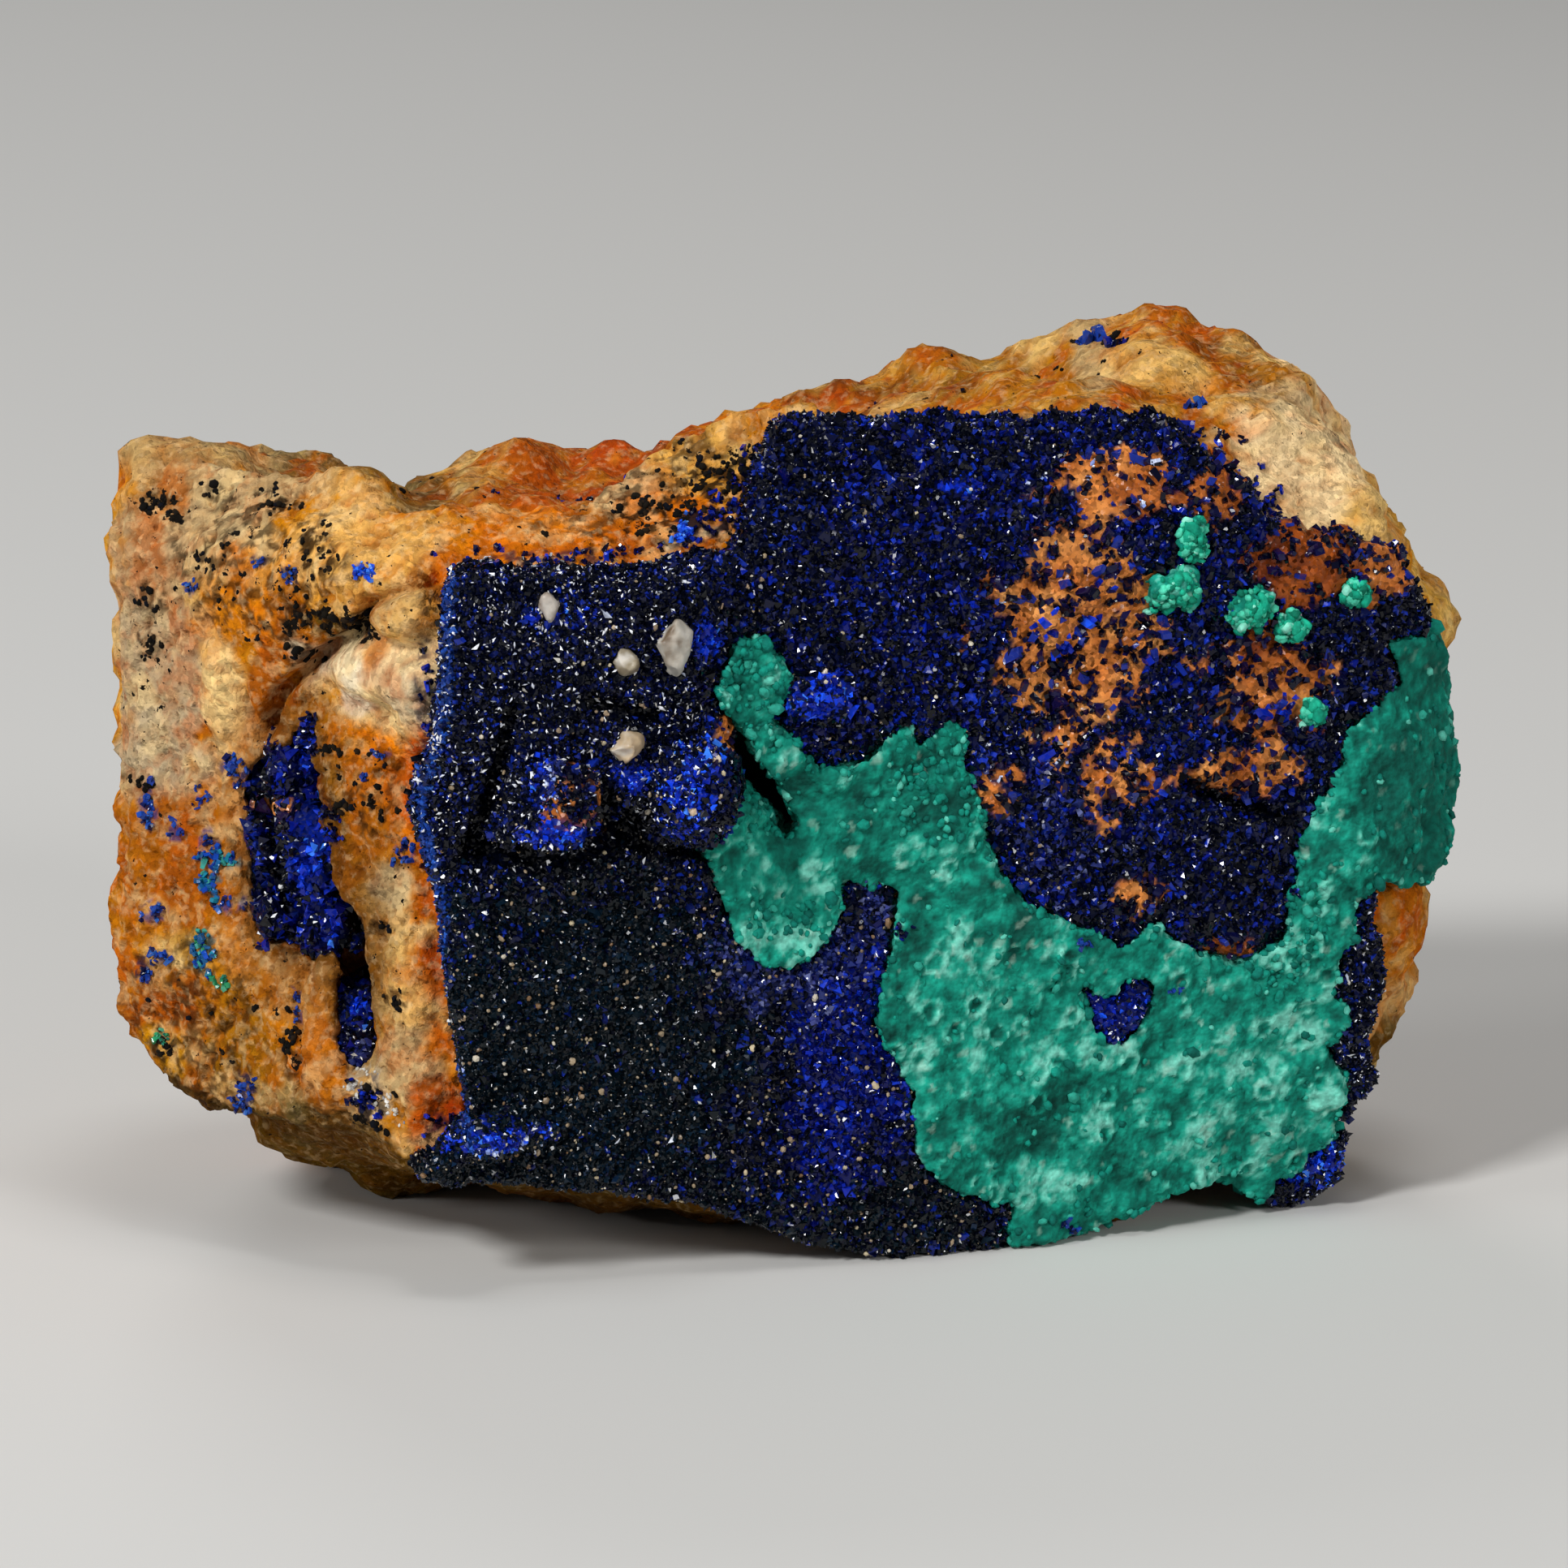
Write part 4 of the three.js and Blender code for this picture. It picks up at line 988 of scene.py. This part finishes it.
def zones_at(points):
    """How much of each zone's character the druse has at each point."""
    ragged = 0.5 * wave(points, 1.5, 4, 8.8)
    rust = zone_share(points, RUST_ZONES, ragged)
    mottle = 0.85 * wave(points, 1.1, 4, 1.4)
    return {
        "rust": smooth(rust + mottle, 0.36, 0.5) * smooth(rust, 0.1, 0.3),
        "dark_rust": zone_share(points, DARK_RUST_ZONES, ragged),
        "vivid": zone_share(points, VIVID_ZONES, ragged),
        "royal": zone_share(points, ROYAL_ZONES, ragged),
        "lilac": zone_share(points, LILAC_ZONES, ragged),
        "greenish": zone_share(points, GREENISH_ZONES, ragged),
        "edge": 0.9 * along(points, PALE_EDGE, 0.45),
        "shaded_crevice": np.max([along(points, line, 1.3 * width) for line, width, _ in CREVICES], axis=0),
    }


def paint_druse(piece, points, facing):
    zones = zones_at(points)
    colours = ramp(0.5 + 0.5 * wave(points, 2.5), [(0, "02030a"), (0.5, "03061a"), (1, "071038")])
    colours = tint_in_turn(colours, [
        ("040b10", zones["greenish"]),
        ("04105a", zones["royal"]),
        ("1c2450", 0.8 * zones["lilac"]),
        ("0a2490", 0.9 * zones["vivid"]),
        ("143478", zones["edge"]),
    ])
    orange = 0.5 + 0.5 * wave(points, 1.2, 3, 4.2)
    rust = ramp(orange, [(0, "9a4a1c"), (0.4, "d07a38"), (1, "e8a25c")])
    dark = ramp(orange, [(0, "622812"), (0.5, "984818"), (1, "b8642a")])
    rust = rust + (dark - rust) * np.clip(zones["dark_rust"], 0, 1)[:, None]
    colours = colours + (rust - colours) * zones["rust"][:, None]
    # Painted shade: near black in the crevices between the lumps
    colours = tint(colours, "010206", 0.95 * zones["shaded_crevice"])
    # Seen from the side, at its left edge, the crust is a fringe of paler blue needles
    fringe = smooth(-facing[:, 0], 0.75, 0.95) * (points[:, 0] < -12)
    streaks = 0.5 + 0.5 * wave(points * (1, 0.25, 1), 0.5, 2)
    colours = tint(colours, "1c4090", 0.8 * fringe * streaks)
    colour_points(piece, "stain", colours)


def druse_heights(points, facing):
    """The lumpy relief of a druse: rounded clumps of crystals, the larger lumps, crevices between them, and
    an uneven upper edge."""
    middle, seam, own = grains(points, 0.9, 6.5)
    heights = 0.2 * wave(points, 2.4, 3, 9.1) + 0.08 * wave(points, 0.6, 2)
    heights += (0.16 * (1 - middle) + 0.14 * (own - 0.5)) * smooth(seam, 0, 0.3)
    ragged = 0.25 * wave(points, 1.3, 3, 2.9)
    for patch, out in DRUSE_MASSES:
        heights += out * dome(points, patch, ragged, 0.4)
    for line, half_width, depth in CREVICES:
        heights -= depth * along(points, line, half_width)
    return heights + 0.5 * smooth(facing[:, 2], 0.3, 0.6) * wave(points, 1.2, 3, 5.2)


def make_druse_piece(node, name, square=DRUSE_SQUARE, smoothings=3, leftwards=0.0):
    """A druse piece, grown further `leftwards` against the wall that it stands beside."""
    piece = even_copy(node, name, square, smoothings, SINK)
    points = points_of(piece)
    facing = facing_of(piece)
    paint_druse(piece, points, facing)
    reshape(piece, 0.1 + druse_heights(points, facing) + leftwards * smooth(-facing[:, 0], 0.1, 0.6))
    return piece


# Zones of the malachite that are paler than the rest, or deeper: [x, z, half width, half height], how much
MALACHITE_TONES = [
    ([1.0, 15.8, 3.6, 1.8], 0.5),
    ([-2.2, 18.0, 1.4, 3.0], 0.35),
    ([14.5, 9.0, 8.0, 5.5], 0.18),
    ([21.0, 5.6, 4.4, 4.2], 0.4),
    ([22.4, 12.0, 2.4, 3.0], 0.3),
    ([7.0, 18.6, 1.6, 1.4], 0.3),
    ([7.0, 12.0, 2.2, 4.0], 0.25),
    ([12.0, 3.0, 3.5, 1.6], 0.3),
    ([6.5, 22.0, 2.4, 2.4], -0.35),
    ([-0.4, 20.6, 1.5, 2.2], -0.3),
    ([10.5, 5.5, 2.0, 1.6], -0.3),
    ([17.6, 6.0, 1.6, 1.2], -0.35),
    ([28.0, 21.5, 2.6, 6.0], -0.3),
]

# The flank that is plainer than the rest
PLAIN_FLANK = [28.4, 21.0, 2.6, 6.5]

# Its knobbly parts: the upper left lobe, the spikes of the upper edge, the tip of the left lobe, and the edge
# where it rises on the right
KNOBBLY = [[-2.1, 27.6, 2.4, 3.4], [6.6, 21.6, 2.8, 2.4], [1.4, 15.6, 3.0, 1.4], [21.8, 14.0, 2.0, 3.0]]
KNOB_COLOURS = ["0c8472", "087062", "2c9c88", "066054", "58b8a4"]
TUFT_COLOURS = ["1aa484", "0c8c70", "4cc4a4", "087058", "84d8c0"]

# The widths of its cups, of its balls and of the beads between them
CUP_SIZE = 1.2
BALL_SIZE = 0.62
BEAD_SIZE = 0.34


def make_malachite_piece(node, name, square=MALACHITE_SQUARE, sink=SINK, pale=0.0):
    """Malachite grown as balls and cups of several sizes: the crusty rims and the tops of the balls are
    painted pale as highlight, and the hollows and pits are painted dark as shade.
    """
    piece = even_copy(node, name, square, 3, sink)
    points = points_of(piece)
    sides = smooth(-np.abs(facing_of(piece)[:, 1]), -0.75, -0.35)
    bent = points + 0.14 * wave(points, 0.8, 2)[:, None]
    cup_middle, _, cup_own = grains(bent, CUP_SIZE, 2.2)
    ball_middle, _, ball_own = grains(bent, BALL_SIZE, 7.7)
    bead_middle, _, bead_own = grains(bent, BEAD_SIZE, 3.1)
    is_cup = (cup_own > 0.68).astype(float)
    ring = np.exp(-(((cup_middle - 0.4) / 0.11) ** 2)) * is_cup
    hollow = is_cup * (1 - smooth(cup_middle, 0.1, 0.35))
    ball = np.sqrt(np.clip(1 - ball_middle**2, 0, 1))
    pits = smooth(wave(points, 0.9, 3, 9.4), 0.2, 0.4)
    plain = 0.6 * within(points, PLAIN_FLANK, 0.5 * wave(points, 2.4, 3, 1.7), 0.4)
    relief = 0.1 * ring - 0.08 * hollow + 0.2 * (ball - 0.8) + 0.08 * (ball_own - 0.5)
    relief += 0.16 * (0.5 - bead_middle) + 0.1 * wave(points, 2.4, 3, 4.4) - 0.08 * pits
    relief += 0.5 * sides * wave(points, 1.5, 2, 5.5) + 0.6 * plain * wave(points, 3.2, 3, 2.6)
    # The tone, over a random mottle: paler on the rims and the balls' tops as painted highlight, darker in
    # the hollows and pits as painted shade
    tone = 0.43 + 0.4 * wave(points, 1.6, 3, 1.1) + 0.2 * (ball_own - 0.5) + 0.42 * ring - 0.24 * hollow
    tone += 0.2 * (0.5 - ball_middle) + 0.32 * (bead_own - 0.5) + 0.16 * sides - 0.12 * pits + pale
    ragged = 0.3 * wave(points, 1.6)
    for patch, paler in MALACHITE_TONES:
        tone += paler * 0.6 * within(points, patch, ragged, 0.4)
    tone = tone * (1 - plain) + (0.24 + 0.2 * wave(points, 2.2, 4, 7.1)) * plain
    colours = ramp(tone, [(0, "02443a"), (0.25, "045c4e"), (0.48, "057a67"), (0.72, "17957f"), (1, "70c6b2")])
    # A few greyish, faintly pink balls among the green ones
    colours = tint(colours, "9aac9e", 0.35 * smooth(bead_own, 0.965, 0.98) * (1 - plain))
    colour_points(piece, "stain", colours)
    reshape(piece, 0.05 + relief * (1 - 0.4 * plain))
    return piece


# The grains of quartz: the end of the node's name, the colour and the seed
QUARTZ_GRAINS = [
    ("large", "c4beb2", 3),
    ("small", "968a72", 8),
    ("middle", "c4ac8a", 5),
    ("top", "a69c92", 11),
]

# How much a grain is swollen before its breaks are cut, and how many breaks are tried
GRAIN_SWELL = 1.3
GRAIN_BREAKS = 12


def chip(points, cuts, dice):
    """Breaks a rounded grain along flat faces: whatever stands past one of the random cuts is taken back."""
    middle = points.mean(axis=0)
    points = middle + (points - middle) * GRAIN_SWELL
    reach = np.abs(points - middle).max(axis=0)
    for way in dice.normal(size=(cuts, 3)):
        way /= np.linalg.norm(way)
        limit = dice.uniform(0.55, 0.8) * np.linalg.norm(reach * way)
        points = points - np.maximum((points - middle) @ way - limit, 0)[:, None] * way
    return points


def make_quartz_grain(node, name, colour, seed):
    """A broken grain of milky quartz: a few flat breaks, and a fine roughness."""
    piece = even_copy(node, name, SMALL_SQUARE, 5, sink=0.5)
    points = points_of(piece)
    dice = np.random.default_rng(seed)
    colours = ramp(0.5 + 0.7 * wave(points, 0.7, 3), [(0, "6e5c48"), (0.5, colour), (1, "d4cec4")])
    colour_points(piece, "stain", colours)
    piece.data.vertices.foreach_set("co", chip(points, GRAIN_BREAKS, dice).ravel())
    piece.data.update()
    reshape(piece, 0.07 * wave(points, 0.5, 3) + 0.12 * wave(points, 1.2, 2))
    return piece


def strew(piece, how_many, chance, seed):
    """Random places on a piece, and the ways they face. `chance` is how likely each of its points is."""
    dice = np.random.default_rng(seed)
    piece.data.calc_loop_triangles()
    corners = np.empty(len(piece.data.loop_triangles) * 3, int)
    piece.data.loop_triangles.foreach_get("vertices", corners)
    corners = corners.reshape(-1, 3)
    points = points_of(piece)
    a, b, c = (points[corners[:, i]] for i in range(3))
    area = np.linalg.norm(np.cross(b - a, c - a), axis=1)
    weight = area * chance[corners].mean(axis=1)
    picked = corners[dice.choice(len(area), how_many, p=weight / weight.sum())]
    share = dice.dirichlet((1, 1, 1), how_many)[:, :, None]
    return (points[picked] * share).sum(axis=1), (facing_of(piece)[picked] * share).sum(axis=1)


def make_block():
    """A blockier azurite crystal: a sheared box."""
    form = bmesh.new()
    bmesh.ops.create_cube(form, size=1)
    bmesh.ops.scale(form, vec=(0.6, 0.55, 0.9), verts=form.verts)
    tip = [v for v in form.verts if v.co.z > 0]
    bmesh.ops.scale(form, vec=(0.7, 0.8, 1), verts=tip)
    bmesh.ops.translate(form, vec=(0.14, 0, 0), verts=tip)
    bmesh.ops.translate(form, vec=(0, 0, 0.22), verts=[v for v in tip if v.co.y > 0])
    bmesh.ops.translate(form, vec=(0, 0, 0.15), verts=form.verts)
    return form


def make_tip():
    """The part of a small crystal that stands out of a druse: a squat four-sided tip about one unit wide."""
    form = bmesh.new()
    bmesh.ops.create_cone(form, cap_ends=True, segments=4, radius1=0.66, radius2=0, depth=0.75)
    bmesh.ops.translate(form, vec=(0.16, 0.1, 0.1), verts=[v for v in form.verts if v.co.z > 0])
    bmesh.ops.translate(form, vec=(0, 0, 0.12), verts=form.verts)
    return form


def make_glint():
    """A painted glint, the highlight on the edge of a crystal face: a tip drawn out into a short blade."""
    form = make_tip()
    bmesh.ops.scale(form, vec=(1.6, 0.56, 0.8), verts=form.verts)
    return form


def make_lump():
    """A flattened rounded grain one unit wide."""
    form = bmesh.new()
    bmesh.ops.create_icosphere(form, subdivisions=1, radius=0.5)
    bmesh.ops.scale(form, vec=(1, 0.8, 0.6), verts=form.verts)
    return form


def make_cloud(name, template, places, facing, sizes, tints, lean, seed):
    """Copies of a small shape as one piece: one at each place, standing up from the surface and leaning at
    random, each with a size and a tint of its own."""
    dice = np.random.default_rng(seed)
    form = template()
    bmesh.ops.triangulate(form, faces=form.faces)
    shape = np.array([v.co[:] for v in form.verts])
    faces = np.array([[v.index for v in f.verts] for f in form.faces])
    form.free()
    count = len(places)
    axis = facing / np.linalg.norm(facing, axis=1)[:, None] + lean * dice.normal(size=(count, 3))
    axis /= np.linalg.norm(axis, axis=1)[:, None]
    side = np.cross(axis, dice.normal(size=(count, 3)))
    side /= np.linalg.norm(side, axis=1)[:, None]
    turn = np.stack([side, np.cross(axis, side), axis], axis=1)
    stretch = dice.uniform(0.75, 1.25, size=(count, 1, 3)) * sizes[:, None, None]
    points = np.einsum("nvi,nij->nvj", shape[None] * stretch, turn) + places[:, None]
    offsets = np.arange(count)[:, None, None] * len(shape)
    points = points.reshape(-1, 3)
    points[:, 2] = np.maximum(points[:, 2], CLEAR_OF_GROUND)
    mesh = bpy.data.meshes.new(name)
    mesh.from_pydata(points.tolist(), [], (faces[None] + offsets).reshape(-1, faces.shape[1]).tolist())
    piece = new_object(name, mesh)
    colour_points(piece, "stain", np.repeat(tints, len(shape), axis=0))
    return piece


def pick(palette, how_many, dice):
    """Random colours of a palette, its first ones more often."""
    colours = np.array([linear(c) for c in palette])
    odds = 1 / (1 + np.arange(len(colours)))
    return colours[dice.choice(len(colours), how_many, p=odds / odds.sum())]


def crystal_tints(points, seed):
    """A colour for each crystal, from the palette of the zone it grows in."""
    dice = np.random.default_rng(seed)
    zones = zones_at(points)
    tints = pick(PALETTES["open"], len(points), dice)
    for zone in ("greenish", "royal", "lilac", "rust", "vivid", "edge", "shaded_crevice"):
        chosen = dice.random(len(points)) < zones[zone]
        tints[chosen] = pick(PALETTES[zone], chosen.sum(), dice)
    return tints


def grow_crystals(base, name, template, how_many, size, chance, seed, lean=0.55):
    """A cloud of azurite crystals on a druse piece, with sizes around the given one."""
    places, facing = strew(base, how_many, chance, seed)
    dice = np.random.default_rng(seed + 1)
    sizes = size * dice.lognormal(0, 0.22, how_many)
    tints = crystal_tints(places, seed + 2)
    return make_cloud(name, template, places, facing, sizes, tints, lean, seed + 3)


def scatter(base, name, template, how_many, size, palette, chance, seed, spread=0.35, lift=0.1, lean=0.5):
    """A cloud of one palette strewn on a piece, with sizes around the given one, each lifted a little."""
    places, facing = strew(base, how_many, chance, seed)
    dice = np.random.default_rng(seed + 1)
    sizes = size * dice.lognormal(0, spread, how_many)
    tints = pick(palette, how_many, dice)
    return make_cloud(name, template, places + lift * facing, facing, sizes, tints, lean, seed + 2)


def grow_glints(base, name, how_many, chance, seed):
    """Painted highlights: small near-white blades in place of crystal faces turned to the light, as a cloud
    of their own.
    """
    return scatter(base, name, make_glint, how_many, 0.1, GLINT_COLOURS, chance, seed, lean=0.7)


def laid_specks(front_groups, top_groups, palettes, dice):
    """The specks with the given palettes, in nests: where each is dropped from, the way it goes, its size and
    its colour."""
    front, down = Vector((0, 1, 0)), Vector((0, 0, -1))
    for groups, way in ((front_groups, front), (top_groups, down)):
        for (u, v, half_u, half_v), how_many, size, palette in groups:
            if palette not in palettes:
                continue
            spread = (BLACK_NEST_SPREAD if palette == "black" else NEST_SPREAD) * size
            for nest in dice.normal(0, 0.5, (how_many, 2)):
                for offset in dice.normal(0, spread, (NEST, 2)):
                    across = u + nest[0] * half_u + offset[0]
                    up = v + nest[1] * half_v + offset[1]
                    start = (across, -DROP_FROM, up) if way is front else (across, up, DROP_FROM)
                    colour = pick(SPECK_PALETTES[palette], 1, dice)[0]
                    yield Vector(start), way, size * dice.lognormal(0, 0.25), colour


def make_specks(rock, front_groups, top_groups, palettes, name, template, seed):
    """The specks with the given palettes, each laid on the piece that carries them."""
    dice = np.random.default_rng(seed)
    form = bmesh.new()
    form.from_mesh(rock.data)
    ground = BVHTree.FromBMesh(form)
    places, facing, sizes, tints = [], [], [], []
    for start, way, size, colour in laid_specks(front_groups, top_groups, palettes, dice):
        place, normal, _, _ = ground.ray_cast(start, way)
        if place is not None:
            places.append(place[:])
            facing.append(normal[:])
            sizes.append(size)
            tints.append(colour)
    form.free()
    return make_cloud(
        name, template, np.array(places), np.array(facing), np.array(sizes), np.array(tints), 0.5, seed + 1
    )


# The studio lamps: name, place, width and power
LAMPS = [
    ("key_lamp", (-480, -660, 640), 170, 7.4),
    ("left_lamp", (-800, -300, 300), 160, 1.6),
    ("fill_lamp", (660, -660, 380), 200, 2.8),
    ("top_lamp", (120, -160, 960), 260, 1.9),
    ("back_lamp", (-240, 760, 600), 360, 1.6),
]
# How far the floor reaches from the middle, and how bright the room is
FLOOR_REACH = 2000
WORLD_LIGHT = 0.12


def make_stage():
    """A plain pale floor, and soft studio lamps from the left, the right and above."""
    form = bmesh.new()
    bmesh.ops.create_grid(form, x_segments=1, y_segments=1, size=FLOOR_REACH * MM)
    floor = new_piece("floor", form)
    material, tree, _ = new_material("pale_board")
    close_material(tree, {"Base Color": (*linear("cfcecb"), 1), "Roughness": 0.8})
    floor.data.materials.append(material)
    for name, place, width, power in LAMPS:
        light = bpy.data.lights.new(name, "AREA")
        light.size = width * MM
        light.energy = power
        lamp = new_object(name, light)
        lamp.location = Vector(place) * MM
        lamp.rotation_euler = (VIEW_TARGET - Vector(place)).to_track_quat("-Z", "Y").to_euler()
    world = bpy.data.worlds.new("studio")
    world.use_nodes = True
    world.node_tree.nodes["Background"].inputs["Color"].default_value = (1, 1, 1, 1)
    world.node_tree.nodes["Background"].inputs["Strength"].default_value = WORLD_LIGHT
    bpy.context.scene.world = world
    bpy.context.scene.view_settings.view_transform = "Standard"


def make_camera():
    """The camera at the photograph's place, with its field of view."""
    back = Vector((0, -math.cos(VIEW_ELEVATION), math.sin(VIEW_ELEVATION)))
    lens = bpy.data.cameras.new("camera")
    lens.sensor_width = SENSOR_WIDTH
    lens.lens = SENSOR_WIDTH * VIEW_DISTANCE / VIEW_WIDTH
    lens.clip_start = 0.01
    camera = new_object("camera", lens)
    camera.location = (VIEW_TARGET + back * VIEW_DISTANCE) * MM
    camera.rotation_euler = (-back).to_track_quat("-Z", "Y").to_euler()
    bpy.context.scene.camera = camera


def add_sandstone():
    """The block, with the specks of copper minerals, the black dots and the pale grains on it."""
    block = make_sandstone()
    specks = make_specks(block, SPECK_GROUPS, RIDGE_SPECKS, COLOURED, "azurite_specks", make_block, 31)
    dots = make_specks(block, SPECK_GROUPS, RIDGE_SPECKS, {"black"}, "manganese_dots", make_lump, 41)
    pale_grains = make_specks(block, SPECK_GROUPS, [], {"pale"}, "pale_grains", make_lump, 51)
    finish_piece(pale_grains, "quartz", is_smooth=False)
    finish_piece(block, "sandstone", ["sandstone_matrix"])
    finish_piece(specks, "crystals", is_smooth=False)
    finish_piece(dots, "oxide")


def add_druse():
    """The druse of the front, with its crystals and with the grains of sand that it grew round."""
    druse = make_druse_piece("azurite_druse", "azurite_crust")
    points = points_of(druse)
    facing = facing_of(druse)
    zones = zones_at(points)
    shown = smooth(-facing[:, 1] - 0.3 * facing[:, 0], -0.2, 0.2)
    chance = shown * (1 - RUST_BARE * zones["rust"]) * (1 - CREVICE_BARE * zones["shaded_crevice"])
    left = chance * (1 - smooth(points[:, 0], *DRUSE_STEP))
    right = chance * smooth(points[:, 0], *DRUSE_STEP)
    islands = shown * zones["rust"]
    spangled = left * (0.15 + smooth(points[:, 2], 17, 24))
    # Each with its name, its shape, how many, their size, where they grow, and the seed
    clouds = [
        grow_crystals(druse, "azurite_tips_left", make_tip, 24500, 0.22, left, 101),
        grow_crystals(druse, "azurite_tips_right", make_tip, 18000, 0.31, right, 111),
        grow_crystals(druse, "azurite_blocks", make_block, 5000, 0.28, chance, 121),
        grow_crystals(druse, "azurite_islands", make_block, 560, 0.46, islands, 131),
        # Painted highlights: near-white blades standing in for glints, on the left half and most of all high
        # up
        grow_glints(druse, "azurite_glints", 1150, spangled, 181),
    ]
    # The sand is tan and cream, and thickest in the lower half
    sandy = shown * (0.35 + smooth(-points[:, 2], -20, -14)) * (points[:, 0] < 12)
    sand = scatter(druse, "sand_grains", make_lump, 900, 0.16, SAND_COLOURS, sandy, 141, lean=0.4)
    grains_between = make_specks(druse, DRUSE_SPECKS, [], {"sand"}, "tan_grains", make_lump, 191)
    # Pale crystals whose colour is painted highlight, standing in for bright faces
    painted_glint_faces = make_specks(druse, DRUSE_SPECKS, [], {"painted_glint"}, "painted_glint_faces", make_block, 201)
    for cloud in (sand, grains_between):
        finish_piece(cloud, "quartz", is_smooth=False)
    for cloud in (painted_glint_faces, *clouds):
        finish_piece(cloud, "crystals", is_smooth=False)
    finish_piece(druse, "druse", ["azurite_druse"])


def add_small_druses():
    """The strip beyond the malachite, the vein and its foot in the cleft, and the patch in the malachite."""
    for node, name, how_many, size, leftwards in SMALL_DRUSES:
        base = make_druse_piece(node, name, square=0.2, smoothings=2, leftwards=leftwards)
        shown = smooth(-facing_of(base)[:, 1], 0, 0.3)
        crystals = grow_crystals(base, name + "_crystals", make_tip, how_many, size, shown, how_many)
        # Painted highlights: near-white blades standing in for glints on the crystals
        glints = grow_glints(base, name + "_glints", how_many // 14, shown, how_many + 5)
        for cloud in (glints, crystals):
            finish_piece(cloud, "crystals", is_smooth=False)
        finish_piece(base, "druse", [node])


def add_malachite():
    """The malachite crust and its tufts, with knobs most of all along its edges and on its knobbly parts."""
    crust = make_malachite_piece("malachite_crust", "malachite_balls")
    facing = facing_of(crust)
    points = points_of(crust)
    knobbly = np.max([within(points, patch, 0, 0.4) for patch in KNOBBLY], axis=0)
    rim = smooth(-np.abs(facing[:, 1]), -0.8, -0.4)
    knobs_on = smooth(-facing[:, 1], -0.2, 0.1) * (0.05 + rim + knobbly)
    knobs_on *= 1 - 0.8 * within(points, PLAIN_FLANK)
    knobs = scatter(
        crust, "malachite_knobs", make_lump, 2600, 0.4, KNOB_COLOURS, knobs_on, 151, spread=0.3, lift=0
    )
    spots = make_specks(crust, MALACHITE_SPECKS, [], COLOURED, "azurite_spots", make_block, 171)
    finish_piece(knobs, "malachite")
    finish_piece(spots, "crystals", is_smooth=False)
    finish_piece(crust, "malachite", ["malachite_crust"])
    for side in ("top", "left", "middle", "right", "low", "edge"):
        node = "malachite_tuft_" + side
        tuft = make_malachite_piece(node, "malachite_ball_" + side, SMALL_SQUARE, sink=0.6, pale=0.14)
        shown = np.maximum(-facing_of(tuft)[:, 1], 0)
        knobs = scatter(
            tuft, "malachite_knobs_" + side, make_lump, 90, 0.42, TUFT_COLOURS, shown, 161, spread=0.3, lift=0
        )
        finish_piece(knobs, "malachite")
        finish_piece(tuft, "malachite", [node])


def add_quartz():
    """The grains of milky quartz that the druse holds."""
    for side, colour, seed in QUARTZ_GRAINS:
        node = "quartz_grain_" + side
        finish_piece(make_quartz_grain(node, "quartz_" + side, colour, seed), "quartz", [node])


make_camera()
make_stage()
# Each look is a material and the slot that it belongs to
LOOKS = {
    "sandstone": (make_sandstone_material(), "sandstone"),
    "oxide": (make_oxide_material(), "sandstone"),
    "druse": (make_druse_material(), "azurite"),
    "crystals": (make_crystal_material(), "azurite"),
    "malachite": (make_malachite_material(), "malachite"),
    "quartz": (make_quartz_material(), "quartz"),
}
add_sandstone()
add_druse()
add_small_druses()
add_malachite()
add_quartz()
